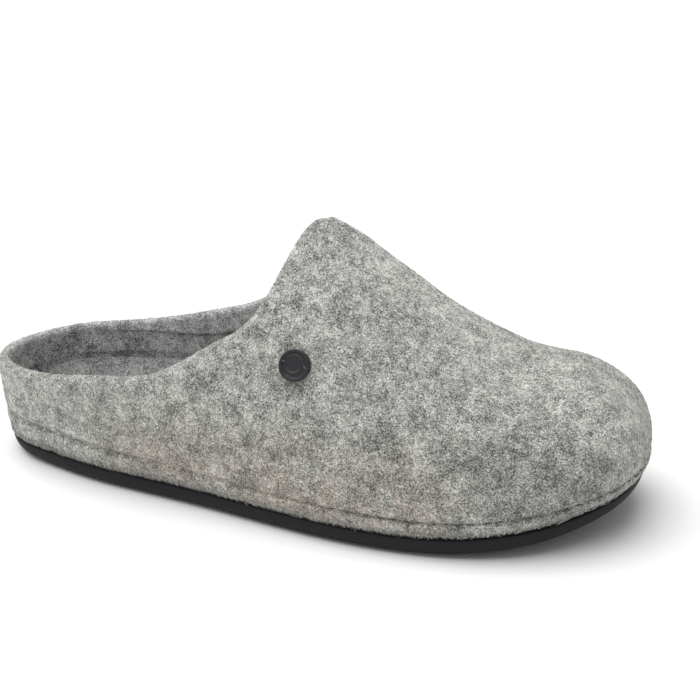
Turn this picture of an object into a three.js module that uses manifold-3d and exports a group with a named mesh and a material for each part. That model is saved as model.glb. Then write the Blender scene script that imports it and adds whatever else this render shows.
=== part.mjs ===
// A backless felt clog slipper for the right foot: a moulded felt shell on a thin rubber sole, with a contoured
// footbed inside it and one round button on the outer side of the vamp.
// Millimetres. +X runs from heel to toe, +Y to the wearer's left (the inner side of the foot), +Z up.
// The sole stands on z = 0. The group is moved at the end so that its box is centred over the origin.
import * as THREE from 'three';
import { mergeVertices } from 'three/addons/utils/BufferGeometryUtils.js';
import Module from 'manifold-3d';

const wasm = await Module();
wasm.setup();

// Overall sizes of the shoe
const soleLength = 277;
const ballWidth = 100;
const heelWidth = 76;
const toeSpring = 11.5;
const toeSpringStart = 187;

// The felt shell: heights are above the rubber sole
const instepHeight = 106.5;
const toeHeight = 53.6;
const heelHeight = 32;
const openingLength = 147;
const ridgeSetback = 37;
const ridgeAside = 13;
const heelSetForward = 35;
const wallSwell = 14;
const feltWall = 5;
const heelWall = 5.2;
const heelWallLength = 70;
const bandHeightHeel = 11.5;
const bandHeightToe = 5.4;
const bandBulge = 0.5;
const grooveWidth = 2.4;
const grooveDepth = 0.9;

// The rubber sole and its tread
const soleThickness = 9;
const soleEdgeRadius = 6;
const endEdgeRadius = 7.5;
const endEdgeLength = 40;
const treadDepth = 1.2;
const treadWidth = 3;
const treadPitch = 11;
const treadMargin = 9;
const heelTreadStart = 20;
const heelTreadLength = 50;
const ballTreadSetback = 20;
const ballTreadLength = 100;

// The footbed: heights are above the rubber sole
const cupHeight = 20;
const ballBedHeight = 7;

// The button and its rivet
const buttonDiameter = 12.5;
const buttonHeight = 2.8;
const buttonRimWidth = 1.3;
const buttonRecess = 0.6;
const buttonAlong = 146.3;
const buttonRise = 56;
const postDiameter = 4;

// Clearance between pieces that meet
const fitGap = 0.3;

// Number of facets
const collarColumns = 28;
const vampColumns = 13;
const toeColumns = 9;
const outerRows = 13;
const innerRows = 11;
const rimSteps = 4;
const bedRows = 6;
const buttonSides = 32;

// The sole's outline. at is a share of the sole's length; lateral and medial are the half widths on the outer and
// inner side, as shares of the width there, which runs from heelWidth to ballWidth.
const outline = [
  { at: 0.0, lateral: 0.0, medial: 0.0 },
  { at: 0.02, lateral: 0.225, medial: 0.22 },
  { at: 0.06, lateral: 0.336, medial: 0.38 },
  { at: 0.12, lateral: 0.411, medial: 0.445 },
  { at: 0.2, lateral: 0.488, medial: 0.486 },
  { at: 0.3, lateral: 0.544, medial: 0.465 },
  { at: 0.4, lateral: 0.572, medial: 0.413 },
  { at: 0.5, lateral: 0.577, medial: 0.388 },
  { at: 0.6, lateral: 0.569, medial: 0.411 },
  { at: 0.7, lateral: 0.555, medial: 0.459 },
  { at: 0.8, lateral: 0.513, medial: 0.487 },
  { at: 0.88, lateral: 0.418, medial: 0.46 },
  { at: 0.94, lateral: 0.285, medial: 0.393 },
  { at: 0.98, lateral: 0.136, medial: 0.28 },
  { at: 1.0, lateral: -0.1, medial: 0.1 },
];

// The ridge line over the foot, seen from the side. along is a share of the way from the middle of the sole to the
// pole, where the ridge ends above the toes; height runs from 0, at toeHeight, to 1, at instepHeight.
const ridgeProfile = [
  { along: 0.0, height: 1.0 },
  { along: 0.1, height: 0.956 },
  { along: 0.41, height: 0.576 },
  { along: 0.7, height: 0.21 },
  { along: 0.89, height: 0.047 },
  { along: 1.0, height: 0.0 },
];

// Cross sections of the shell. station runs from 0 at the heel to 1 at the toe, evenly round the outline.
// aside is how far the ridge lies to the inner side, as a share of ridgeAside. The side rises from the sole over the
// share rise of the height and swells outwards by the share swell of wallSwell; the top is level over the share flat
// of the half width.
const sections = [
  { station: 0.0, aside: 0.0, rise: 0.59, swell: 1.0, flat: 0.53 },
  { station: 0.25, aside: 0.04, rise: 0.59, swell: 0.57, flat: 0.44 },
  { station: 0.4, aside: 0.2, rise: 0.536, swell: 0.35, flat: 0.364 },
  { station: 0.5, aside: 0.27, rise: 0.46, swell: 0.1, flat: 0.245 },
  { station: 0.6, aside: 0.34, rise: 0.486, swell: 0.074, flat: 0.345 },
  { station: 0.7, aside: 0.735, rise: 0.508, swell: 0.357, flat: 0.402 },
  { station: 0.8, aside: 0.98, rise: 0.49, swell: 0.795, flat: 0.474 },
  { station: 0.9, aside: 1.0, rise: 0.53, swell: 1.08, flat: 0.575 },
  { station: 1.0, aside: 1.0, rise: 0.415, swell: 0.58, flat: 0.54 },
];

// The collar's edge. along is a share of openingLength; lateral and medial are the edge's height on each side, from
// heelHeight at 0 to the ridge at the front of the opening at 1.
const collar = [
  { along: -0.08, lateral: 0.035, medial: 0.035 },
  { along: 0.06, lateral: 0.044, medial: 0.042 },
  { along: 0.2, lateral: 0.052, medial: 0.07 },
  { along: 0.4, lateral: 0.118, medial: 0.13 },
  { along: 0.6, lateral: 0.205, medial: 0.25 },
  { along: 0.76, lateral: 0.4, medial: 0.392 },
  { along: 0.88, lateral: 0.645, medial: 0.66 },
  { along: 0.96, lateral: 0.985, medial: 0.933 },
  { along: 1.0, lateral: 1.0, medial: 1.0 },
];

// The footbed's height. middle, lateral and medial run from 0, at ballBedHeight, to 1, at cupHeight.
const bedSections = [
  { station: 0.0, middle: 0.42, lateral: 0.96, medial: 0.96 },
  { station: 0.2, middle: 0.36, lateral: 0.96, medial: 1.14 },
  { station: 0.4, middle: 0.38, lateral: 0.7, medial: 1.45 },
  { station: 0.5, middle: 0.3, lateral: 0.4, medial: 1.4 },
  { station: 0.62, middle: 0.1, lateral: 0.2, medial: 0.6 },
  { station: 0.8, middle: -0.1, lateral: 0.05, medial: 0.05 },
  { station: 1.0, middle: 0.05, lateral: 0.12, medial: 0.12 },
];

const lateralSide = -1;
const medialSide = 1;
const smooth = (share) => THREE.MathUtils.smoothstep(share, 0, 1);
const mix = THREE.MathUtils.lerp;
const limit = THREE.MathUtils.clamp;
const column = (table, name) => table.map((row) => row[name]);
const sideName = (side) => (side < 0 ? 'lateral' : 'medial');

// A cubic spline through the rows of a table. Its ends are level where levelStart and levelEnd say so, and
// otherwise free of bending.
function curveThrough(places, values, levelStart, levelEnd) {
  const last = places.length - 1;
  const gap = (row) => places[row + 1] - places[row];
  const climb = (row) => (values[row + 1] - values[row]) / gap(row);
  const ratio = [];
  const goal = [];
  for (let row = 0; row <= last; row += 1) {
    const before = row === 0 ? 0 : gap(row - 1);
    const after = row === last ? 0 : gap(row);
    const free = (row === 0 && !levelStart) || (row === last && !levelEnd);
    const turn = (row === last ? 0 : climb(row)) - (row === 0 ? 0 : climb(row - 1));
    const pivot = free ? 1 : 2 * (before + after) - before * (row === 0 ? 0 : ratio[row - 1]);
    ratio.push(free ? 0 : after / pivot);
    goal.push(free ? 0 : (6 * turn - before * (row === 0 ? 0 : goal[row - 1])) / pivot);
  }
  const bend = [...goal];
  for (let row = last - 1; row >= 0; row -= 1) {
    bend[row] = goal[row] - ratio[row] * bend[row + 1];
  }
  return (place) => {
    const inside = limit(place, places[0], places[last]);
    let row = 0;
    while (row < last - 1 && inside > places[row + 1]) {
      row += 1;
    }
    const width = gap(row);
    const behind = inside - places[row];
    const ahead = places[row + 1] - inside;
    const curved = (bend[row] * ahead ** 3 + bend[row + 1] * behind ** 3) / (6 * width);
    const fromStart = (values[row] / width - (bend[row] * width) / 6) * ahead;
    const fromEnd = (values[row + 1] / width - (bend[row + 1] * width) / 6) * behind;
    return curved + fromStart + fromEnd;
  };
}

// A station is an angle round half the outline, so stations crowd where the outline turns at heel and toe.
const alongAt = (station) => (soleLength * (1 - Math.cos(Math.PI * station))) / 2;
const stationAt = (along) => Math.acos(1 - (2 * along) / soleLength) / Math.PI;

const outlineStations = column(outline, 'at').map((share) => stationAt(share * soleLength));
const waistStart = 0.3;
const waistEnd = 0.7;
const widthAt = (share) => mix(heelWidth, ballWidth, smooth((share - waistStart) / (waistEnd - waistStart)));
const halfWidths = (name) => outline.map((row) => row[name] * widthAt(row.at));
const outlineCurve = {
  lateral: curveThrough(outlineStations, halfWidths('lateral'), false, false),
  medial: curveThrough(outlineStations, halfWidths('medial'), false, false),
};

// The ground line of the sole: flat from the heel to the ball, then rising as a parabola to the toe.
function springAt(along) {
  const share = Math.max(0, (along - toeSpringStart) / (soleLength - toeSpringStart));
  return toeSpring * share ** 2;
}

// A point of the outline in plan, where felt and rubber meet.
function outlinePoint(station, side) {
  return new THREE.Vector2(alongAt(station), side * outlineCurve[sideName(side)](station));
}

// The outline's outward direction in plan.
function outlineNormal(station, side) {
  const reach = 0.0001;
  const before = outlinePoint(Math.max(station - reach, 0), side);
  const after = outlinePoint(Math.min(station + reach, 1), side);
  const ahead = after.sub(before).normalize();
  return new THREE.Vector2(-side * ahead.y, side * ahead.x);
}

const sectionCurve = {};
for (const name of ['aside', 'rise', 'swell', 'flat']) {
  sectionCurve[name] = curveThrough(column(sections, 'station'), column(sections, name), true, true);
}

// The ridge line, where the two halves of each section meet. Behind the middle of the sole it only shapes the sides,
// because the shell is open there. In front it starts at the outline's own pace and slows to a stop at the pole,
// round which the toe's sections fan.
const middleStation = 0.5;
const poleStation = 0.82;
const setForwardEnd = 0.42;
const middleAlong = alongAt(middleStation);
const poleAlong = soleLength - ridgeSetback;
function ridgeAlong(station) {
  if (station <= middleStation) {
    return alongAt(station) + heelSetForward * smooth((setForwardEnd - station) / setForwardEnd);
  }
  const share = limit((station - middleStation) / (poleStation - middleStation), 0, 1);
  const pace = (Math.PI / 2) * soleLength * (poleStation - middleStation);
  const started = pace * share * (1 - share) ** 2;
  return mix(middleAlong, poleAlong, smooth(share)) + started;
}

const profilePlaces = column(ridgeProfile, 'along').map((share) => mix(middleAlong, poleAlong, share));
const profileHeights = column(ridgeProfile, 'height').map((share) => mix(toeHeight, instepHeight, share));
const profileCurve = curveThrough(profilePlaces, profileHeights, true, false);
function ridgePoint(station) {
  const along = ridgeAlong(station);
  const height = station <= middleStation ? instepHeight : profileCurve(along);
  return new THREE.Vector3(along, ridgeAside * sectionCurve.aside(station), soleThickness + height);
}

// The slope of the ridge line over the vamp.
function ridgeSlope(station) {
  if (station <= middleStation) {
    return 0;
  }
  const reach = 0.5;
  const ahead = Math.min(ridgeAlong(station) + reach, poleAlong);
  const behind = Math.max(ridgeAlong(station) - reach, middleAlong);
  return (profileCurve(ahead) - profileCurve(behind)) / (ahead - behind);
}

// Height of the shell's lower edge, just clear of the rubber.
const feltFoot = (along) => soleThickness + fitGap + springAt(along);

// The half section at a station: a cubic curve that rises from the sole's edge and runs level into the ridge.
const sectionStore = new Map();
function sectionAt(station, side) {
  const key = `${station} ${side}`;
  if (!sectionStore.has(key)) {
    const foot = outlinePoint(station, side);
    const outward = outlineNormal(station, side);
    const top = ridgePoint(station);
    const start = new THREE.Vector3(foot.x, foot.y, feltFoot(foot.x));
    const rise = sectionCurve.rise(station) * (top.z - start.z);
    const swell = sectionCurve.swell(station) * wallSwell;
    const flat = sectionCurve.flat(station);
    const back = (start.x - top.x) * flat;
    const wall = new THREE.Vector3(start.x + outward.x * swell, start.y + outward.y * swell, start.z + rise);
    const crown = new THREE.Vector3(top.x + back, mix(top.y, start.y, flat), top.z + ridgeSlope(station) * back);
    sectionStore.set(key, new THREE.CubicBezierCurve3(start, wall, crown, top));
  }
  return sectionStore.get(key);
}

// A point of the shell's smooth outer face: across runs from 0 at the sole to 1 at the ridge.
const shellPoint = (station, side, across) => sectionAt(station, side).getPoint(across);

// The two directions in which the outer face runs, along the shoe and up the section.
function shellTangents(station, side, across) {
  const reach = 0.002;
  const near = Math.min(across, 1 - 5 * reach);
  const along = shellPoint(Math.min(station + reach, 1), side, near)
    .sub(shellPoint(Math.max(station - reach, 0), side, near))
    .divideScalar(Math.min(station + reach, 1) - Math.max(station - reach, 0));
  const up = shellPoint(station, side, near + reach)
    .sub(shellPoint(station, side, Math.max(near - reach, 0)))
    .divideScalar(near + reach - Math.max(near - reach, 0));
  return { along, up };
}

function shellNormal(station, side, across) {
  const { along, up } = shellTangents(station, side, across);
  return along.cross(up).multiplyScalar(-side).normalize();
}

// The share of a section at which a rising measure reaches zero, found by halving.
function findAcross(measure) {
  let low = 0;
  let high = 1;
  for (let step = 0; step < 40; step += 1) {
    const middle = (low + high) / 2;
    if (measure(middle) > 0) {
      high = middle;
    } else {
      low = middle;
    }
  }
  return (low + high) / 2;
}

function acrossAtHeight(station, side, height) {
  const foot = shellPoint(station, side, 0).z;
  return findAcross((across) => shellPoint(station, side, across).z - foot - height);
}

// The collar's edge crosses a section where the outer face reaches the collar's height.
const frontStation = stationAt(openingLength);
const frontRise = ridgePoint(frontStation).z - soleThickness - heelHeight;
const collarPlaces = column(collar, 'along').map((share) => share * openingLength);
const collarCurve = {
  lateral: curveThrough(collarPlaces, column(collar, 'lateral'), false, false),
  medial: curveThrough(collarPlaces, column(collar, 'medial'), false, false),
};
function collarAcross(station, side) {
  if (station >= frontStation) {
    return 1;
  }
  return findAcross((across) => {
    const point = shellPoint(station, side, across);
    return point.z - soleThickness - heelHeight - frontRise * collarCurve[sideName(side)](point.x);
  });
}

// Thickness of the felt: a thicker roll round the heel.
const wallAt = (along) => mix(heelWall, feltWall, smooth(along / heelWallLength));

// Height of the stitched groove above the shell's lower edge, and of the footbed's edge.
const bandFade = 2.5;
function bandHeight(along) {
  const share = limit(1 - along / soleLength, 0, 1);
  return mix(bandHeightToe, bandHeightHeel, share ** bandFade);
}
const bedCurve = {};
for (const name of ['middle', 'lateral', 'medial']) {
  bedCurve[name] = curveThrough(column(bedSections, 'station'), column(bedSections, name), true, true);
}
const bedHeight = (station, name) => mix(ballBedHeight, cupHeight, bedCurve[name](station));

// The stations of all columns, closer together at the front of the collar, where its edge turns.
const crowding = 1.5;
const stations = [];
for (let index = 0; index < collarColumns; index += 1) {
  stations.push(frontStation * (1 - (1 - index / collarColumns) ** crowding));
}
for (let index = 0; index < vampColumns; index += 1) {
  stations.push(mix(frontStation, poleStation, index / vampColumns));
}
for (let index = 0; index <= toeColumns; index += 1) {
  stations.push(mix(poleStation, 1, index / toeColumns));
}
const lastStation = stations.length - 1;

// Columns run round the shoe: heel to toe on the outer side, and back on the inner side.
const columns = [];
for (let index = 0; index <= lastStation; index += 1) {
  columns.push({ index, station: stations[index], side: lateralSide });
}
for (let index = lastStation - 1; index > 0; index -= 1) {
  columns.push({ index, station: stations[index], side: medialSide });
}
const onCollar = (entry) => entry.index <= collarColumns;
const poleIndex = collarColumns + vampColumns;
for (const entry of columns) {
  entry.collarAcross = collarAcross(entry.station, entry.side);
  entry.edge = shellPoint(entry.station, entry.side, entry.collarAcross);
}

// The collar's edge as one loop, and the direction in the outer face that leaves the felt there.
const collarLoop = columns.filter((entry) => onCollar(entry));
collarLoop.forEach((entry, order) => {
  const before = collarLoop[(order + collarLoop.length - 1) % collarLoop.length];
  const after = collarLoop[(order + 1) % collarLoop.length];
  const turned = entry.index === collarColumns;
  const ahead = turned ? new THREE.Vector3(0, 1, 0) : after.edge.clone().sub(before.edge);
  entry.normal = shellNormal(entry.station, entry.side, entry.collarAcross);
  entry.leaving = entry.normal.clone().cross(ahead).normalize();
});

// Where a ring of points lies on the ridge, opposite columns share a point, and all of the toe's share the pole.
const ridgeKey = (entry) => (onCollar(entry) && entry.index < collarColumns ? null : Math.min(entry.index, poleIndex));

// A mesh is built from rings of numbered points.
class MeshBuilder {
  constructor() {
    this.points = [];
    this.faces = [];
  }

  add(point) {
    this.points.push(point);
    return this.points.length - 1;
  }

  triangle(first, second, third) {
    if (first !== second && second !== third && third !== first) {
      this.faces.push(first, second, third);
    }
  }

  // The columns whose keys are equal share one point.
  ring(list, pointOf, keyOf = () => null) {
    const shared = new Map();
    return list.map((entry) => {
      const key = keyOf(entry);
      if (key === null) {
        return this.add(pointOf(entry));
      }
      if (!shared.has(key)) {
        shared.set(key, this.add(pointOf(entry)));
      }
      return shared.get(key);
    });
  }

  stitch(lower, upper, closed = true) {
    const steps = closed ? lower.length : lower.length - 1;
    for (let step = 0; step < steps; step += 1) {
      const next = (step + 1) % lower.length;
      this.triangle(lower[step], lower[next], upper[next]);
      this.triangle(lower[step], upper[next], upper[step]);
    }
  }

  // Closes a ring of all columns with rows from the outer to the inner side at each station.
  cap(ring, rows, pointOf, facingUp) {
    const lines = stations.map((station, index) => {
      const lateral = ring[index];
      const medial = ring[(columns.length - index) % columns.length];
      const line = [lateral];
      for (let row = 1; row < rows; row += 1) {
        const inner = index > 0 && index < lastStation;
        line.push(inner ? this.add(pointOf(index, this.points[lateral], this.points[medial], row / rows)) : lateral);
      }
      line.push(medial);
      return line;
    });
    for (let index = 0; index < lastStation; index += 1) {
      const nearer = facingUp ? index + 1 : index;
      const farther = facingUp ? index : index + 1;
      this.stitch(lines[nearer], lines[farther], false);
    }
  }

  geometry() {
    const geometry = new THREE.BufferGeometry();
    const places = this.points.flatMap((point) => [point.x, point.y, point.z]);
    geometry.setAttribute('position', new THREE.Float32BufferAttribute(places, 3));
    geometry.setIndex(this.faces);
    return geometry;
  }
}

// A geometry as a solid that can be cut, and back again.
function toSolid(geometry) {
  const bare = geometry.clone();
  bare.deleteAttribute('normal');
  bare.deleteAttribute('uv');
  const merged = mergeVertices(bare, 0.001);
  const mesh = new wasm.Mesh({
    numProp: 3,
    vertProperties: merged.getAttribute('position').array,
    triVerts: new Uint32Array(merged.index.array),
  });
  return new wasm.Manifold(mesh);
}

function toGeometry(solid) {
  const mesh = solid.getMesh();
  const geometry = new THREE.BufferGeometry();
  geometry.setAttribute('position', new THREE.BufferAttribute(mesh.vertProperties, 3));
  geometry.setIndex(new THREE.BufferAttribute(mesh.triVerts, 1));
  geometry.computeVertexNormals();
  return geometry;
}

// A point on the shell's inner face, or deeper inside it. Its lowest row stands level with the shell's foot.
function insidePoint(entry, across, clearance) {
  const outer = shellPoint(entry.station, entry.side, across);
  const depth = wallAt(outer.x) + clearance;
  const inner = outer.clone().addScaledVector(shellNormal(entry.station, entry.side, across), -depth);
  if (across === 0) {
    inner.z = feltFoot(inner.x);
  }
  return inner;
}

// The shares of a section at which the inner face has its rows: two up to the footbed's edge, then even steps.
function innerAcross(entry, row) {
  const edge = bedHeight(entry.station, sideName(entry.side));
  const bedRowsBelow = 2;
  const edgeAcross = acrossAtHeight(entry.station, entry.side, edge);
  if (row <= bedRowsBelow) {
    return (edgeAcross * row) / bedRowsBelow;
  }
  return mix(edgeAcross, entry.collarAcross, (row - bedRowsBelow) / (innerRows - bedRowsBelow));
}

// The shell: outer face with its band and groove, rounded rim, inner face and flat foot.
function makeUpper() {
  const builder = new MeshBuilder();
  const rings = [];
  const rimRadius = (entry) => wallAt(entry.edge.x) / 2;

  // Below the groove the wall swells a little, and the groove itself is a step down.
  const bandRows = [
    { share: 0, groove: 0, relief: 0 },
    { share: 0.5, groove: -0.25, relief: bandBulge },
    { share: 1, groove: -0.5, relief: bandBulge },
    { share: 1, groove: 0, relief: -grooveDepth },
    { share: 1, groove: 0.5, relief: 0 },
  ];
  for (const row of bandRows) {
    rings.push(builder.ring(columns, (entry) => {
      const along = alongAt(entry.station);
      const height = row.share * bandHeight(along) + row.groove * grooveWidth;
      const across = acrossAtHeight(entry.station, entry.side, height);
      const normal = shellNormal(entry.station, entry.side, across);
      return shellPoint(entry.station, entry.side, across).addScaledVector(normal, row.relief);
    }));
  }

  // The rest of the outer face. Near the collar its points move back to where the rounded rim starts.
  const rimStart = (entry, share) => {
    const { along, up } = shellTangents(entry.station, entry.side, entry.collarAcross);
    const shift = entry.leaving.clone().multiplyScalar(-rimRadius(entry) * share ** 4);
    const alongAlong = along.dot(along);
    const alongUp = along.dot(up);
    const upUp = up.dot(up);
    const scale = alongAlong * upUp - alongUp ** 2;
    return {
      station: (shift.dot(along) * upUp - shift.dot(up) * alongUp) / scale,
      across: (shift.dot(up) * alongAlong - shift.dot(along) * alongUp) / scale,
    };
  };
  for (let row = 1; row <= outerRows; row += 1) {
    const share = row / outerRows;
    const keyOf = row === outerRows ? ridgeKey : undefined;
    rings.push(builder.ring(columns, (entry) => {
      const grooveTop = bandHeight(alongAt(entry.station)) + grooveWidth / 2;
      const start = acrossAtHeight(entry.station, entry.side, grooveTop);
      const across = mix(start, entry.collarAcross, share);
      if (!onCollar(entry)) {
        return shellPoint(entry.station, entry.side, across);
      }
      const moved = rimStart(entry, share);
      const station = limit(entry.station + moved.station, 0, 1);
      return shellPoint(station, entry.side, Math.min(across + moved.across, 1));
    }, keyOf));
  }

  // The rim is a half round from the outer face to the inner one, only where the shell is open.
  const rimRings = [];
  for (let step = 1; step < rimSteps; step += 1) {
    const angle = (Math.PI * step) / rimSteps;
    rimRings.push(builder.ring(collarLoop, (entry) => {
      const radius = rimRadius(entry);
      return entry.edge.clone()
        .addScaledVector(entry.normal, -radius * (1 - Math.cos(angle)))
        .addScaledVector(entry.leaving, -radius * (1 - Math.sin(angle)));
    }, ridgeKey));
  }

  // The inner face, from the collar down.
  const innerRings = [];
  for (let row = innerRows; row >= 0; row -= 1) {
    const share = row / innerRows;
    const keyOf = row === innerRows ? ridgeKey : undefined;
    innerRings.push(builder.ring(columns, (entry) => {
      const point = insidePoint(entry, innerAcross(entry, row), 0);
      if (onCollar(entry)) {
        point.addScaledVector(entry.leaving, -rimRadius(entry) * share ** 4);
      }
      return point;
    }, keyOf));
  }

  for (let order = 0; order + 1 < rings.length; order += 1) {
    builder.stitch(rings[order], rings[order + 1]);
  }
  const keepCollar = (ring) => ring.filter((_, order) => onCollar(columns[order]));
  const collarRings = [keepCollar(rings.at(-1)), ...rimRings, keepCollar(innerRings[0])];
  for (let order = 0; order + 1 < collarRings.length; order += 1) {
    builder.stitch(collarRings[order], collarRings[order + 1]);
  }
  for (let order = 0; order + 1 < innerRings.length; order += 1) {
    builder.stitch(innerRings[order], innerRings[order + 1]);
  }
  builder.stitch(innerRings.at(-1), rings[0]);
  return builder.geometry();
}

// The footbed: its side follows the shell's inner face, its top is a heel cup, an arch and a shallow toe bed.
function makeFootbed() {
  const builder = new MeshBuilder();
  const rings = [0, 1, 2].map((row) => {
    return builder.ring(columns, (entry) => insidePoint(entry, innerAcross(entry, row), fitGap));
  });
  builder.stitch(rings[0], rings[1]);
  builder.stitch(rings[1], rings[2]);
  const cupPower = 2.4;
  builder.cap(rings[2], bedRows, (index, lateral, medial, share) => {
    const point = lateral.clone().lerp(medial, share);
    const edge = mix(lateral.z, medial.z, share);
    const middle = feltFoot(point.x) + bedHeight(stations[index], 'middle');
    const fromMiddle = Math.abs(2 * share - 1) ** cupPower;
    point.z = mix(middle, edge, fromMiddle);
    return point;
  }, true);
  builder.cap(rings[0], 1, null, false);
  return builder.geometry();
}

// Radius of the rubber's lower edge, which tucks in more at the heel and the toe.
function edgeRadiusAt(along) {
  const fromEnd = Math.min(along, soleLength - along);
  return mix(endEdgeRadius, soleEdgeRadius, smooth(fromEnd / endEdgeLength));
}

// The rubber sole: its side stands under the felt's edge and rounds in to the ground. turn is the angle round the
// rounded edge, from the ground up.
function makeOutsole() {
  const builder = new MeshBuilder();
  const edgeSteps = 3;
  const rings = [];
  for (let step = 0; step <= edgeSteps; step += 1) {
    const turn = (Math.PI / 2) * (step / edgeSteps);
    rings.push(builder.ring(columns, (entry) => {
      const foot = outlinePoint(entry.station, entry.side);
      const radius = edgeRadiusAt(foot.x);
      const inset = radius * (1 - Math.sin(turn));
      const place = foot.addScaledVector(outlineNormal(entry.station, entry.side), -inset);
      return new THREE.Vector3(place.x, place.y, radius * (1 - Math.cos(turn)) + springAt(place.x));
    }));
  }
  rings.push(builder.ring(columns, (entry) => {
    const foot = outlinePoint(entry.station, entry.side);
    return new THREE.Vector3(foot.x, foot.y, soleThickness + springAt(foot.x));
  }));
  for (let order = 0; order + 1 < rings.length; order += 1) {
    builder.stitch(rings[order], rings[order + 1]);
  }
  builder.cap(rings.at(-1), 1, null, true);
  builder.cap(rings[0], 1, null, false);

  // The tread: shallow grooves across the heel and the ball, which stop short of the edge.
  let solid = toSolid(builder.geometry());
  const ballTreadEnd = soleLength - ballTreadSetback;
  const zones = [
    { start: heelTreadStart, end: heelTreadStart + heelTreadLength },
    { start: ballTreadEnd - ballTreadLength, end: ballTreadEnd },
  ];
  for (const zone of zones) {
    const grooves = Math.max(1, Math.round((zone.end - zone.start) / treadPitch));
    for (let count = 0; count <= grooves; count += 1) {
      const along = mix(zone.start, zone.end, count / grooves);
      const outer = -outlineCurve.lateral(stationAt(along)) + treadMargin;
      const inner = outlineCurve.medial(stationAt(along)) - treadMargin;
      const climb = springAt(along + treadWidth / 2) - springAt(along - treadWidth / 2);
      const slope = Math.atan2(climb, treadWidth);
      const cutter = new THREE.BoxGeometry(treadWidth, inner - outer, 2 * treadDepth);
      cutter.rotateY(-slope);
      cutter.translate(along, (inner + outer) / 2, springAt(along));
      solid = solid.subtract(toSolid(cutter));
    }
  }
  return toGeometry(solid);
}

// Where the button sits on the outer side of the vamp, and the direction in which it faces.
function buttonPlace() {
  const station = stationAt(buttonAlong);
  const across = acrossAtHeight(station, lateralSide, buttonRise);
  const normal = shellNormal(station, lateralSide, across);
  const point = shellPoint(station, lateralSide, across);
  const turn = new THREE.Quaternion().setFromUnitVectors(new THREE.Vector3(0, 1, 0), normal);
  return { point, turn };
}

// The button: a round cap with a raised rim, and the post that rivets it through the felt.
function makeButton() {
  const radius = buttonDiameter / 2;
  const post = postDiameter / 2;
  const bevel = 0.5;
  const face = buttonHeight - buttonRecess;
  const profile = [
    [0, -feltWall],
    [post, -feltWall],
    [post, fitGap],
    [radius - bevel, fitGap],
    [radius, fitGap + bevel],
    [radius, buttonHeight - bevel],
    [radius - bevel, buttonHeight],
    [radius - buttonRimWidth + bevel / 2, buttonHeight],
    [radius - buttonRimWidth, face],
    [0, face],
  ].map(([across, up]) => new THREE.Vector2(across, up));
  return new THREE.LatheGeometry(profile, buttonSides);
}

function makePostHole() {
  const reach = 3 * feltWall;
  const hole = new THREE.CylinderGeometry(postDiameter / 2 + fitGap, postDiameter / 2 + fitGap, reach, buttonSides);
  const { point, turn } = buttonPlace();
  hole.applyQuaternion(turn);
  hole.translate(point.x, point.y, point.z);
  return hole;
}

const felt = new THREE.MeshStandardMaterial({ color: '#a3a09c', roughness: 0.95, metalness: 0 });
const beddingFelt = new THREE.MeshStandardMaterial({ color: '#85868a', roughness: 0.95, metalness: 0 });
const blackRubber = new THREE.MeshStandardMaterial({ color: '#27282b', roughness: 0.75, metalness: 0 });
const blackPlastic = new THREE.MeshStandardMaterial({ color: '#303238', roughness: 0.5, metalness: 0 });

function namedMesh(name, geometry, material) {
  const mesh = new THREE.Mesh(geometry, material);
  mesh.name = name;
  return mesh;
}

const upper = toSolid(makeUpper()).subtract(toSolid(makePostHole()));
const button = namedMesh('button', makeButton(), blackPlastic);
const seat = buttonPlace();
button.position.copy(seat.point);
button.quaternion.copy(seat.turn);

const group = new THREE.Group();
group.add(namedMesh('outsole', makeOutsole(), blackRubber));
group.add(namedMesh('footbed', makeFootbed(), beddingFelt));
group.add(namedMesh('upper', toGeometry(upper), felt));
group.add(button);

// The origin goes to the bottom centre of the whole shoe's box.
const box = new THREE.Box3().setFromObject(group, true);
group.position.set(-(box.min.x + box.max.x) / 2, -(box.min.y + box.max.y) / 2, -box.min.z);

export default group;
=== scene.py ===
"""A backless clog slipper of mottled grey wool felt, for the right foot, standing empty on a pale studio
floor.

Sizes are in millimetres along the shoe: x from the heel (0) to the toe, y to the wearer's left, z up from the
ground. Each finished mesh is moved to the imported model's frame, in metres, by to_frame.
"""

import bpy
import numpy as np
from mathutils import Matrix, Vector


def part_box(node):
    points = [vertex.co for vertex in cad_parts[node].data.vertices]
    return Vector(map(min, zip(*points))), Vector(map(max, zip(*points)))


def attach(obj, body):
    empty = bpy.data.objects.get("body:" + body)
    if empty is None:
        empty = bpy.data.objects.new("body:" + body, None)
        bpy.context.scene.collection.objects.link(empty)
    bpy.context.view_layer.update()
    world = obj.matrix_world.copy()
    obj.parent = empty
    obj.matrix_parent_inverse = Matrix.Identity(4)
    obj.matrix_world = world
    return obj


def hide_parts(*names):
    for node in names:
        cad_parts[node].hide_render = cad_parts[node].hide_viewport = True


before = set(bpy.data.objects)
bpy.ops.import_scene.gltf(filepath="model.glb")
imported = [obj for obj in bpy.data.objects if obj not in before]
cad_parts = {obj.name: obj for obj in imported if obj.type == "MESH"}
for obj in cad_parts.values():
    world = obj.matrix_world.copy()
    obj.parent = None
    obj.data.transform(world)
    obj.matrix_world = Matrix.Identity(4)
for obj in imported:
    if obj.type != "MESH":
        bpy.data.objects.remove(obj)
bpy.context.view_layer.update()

# Felt shell.
# The real piece is one blank of grey wool felt, about 5 mm thick, steamed and pulled over a last, so it has
# no seams. Its foot is cemented to the rubber, and a stitched groove runs round it just above.
SOLE_LENGTH = 277.0
BALL_WIDTH = 100.0
HEEL_WIDTH = 76.0
WAIST_START = 0.3
WAIST_END = 0.7
TOE_SPRING = 11.5
TOE_SPRING_START = 187.0
INSTEP_HEIGHT = 106.5
TOE_HEIGHT = 53.6
HEEL_HEIGHT = 32.0
OPENING_LENGTH = 147.0
RIDGE_SETBACK = 37.0
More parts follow.
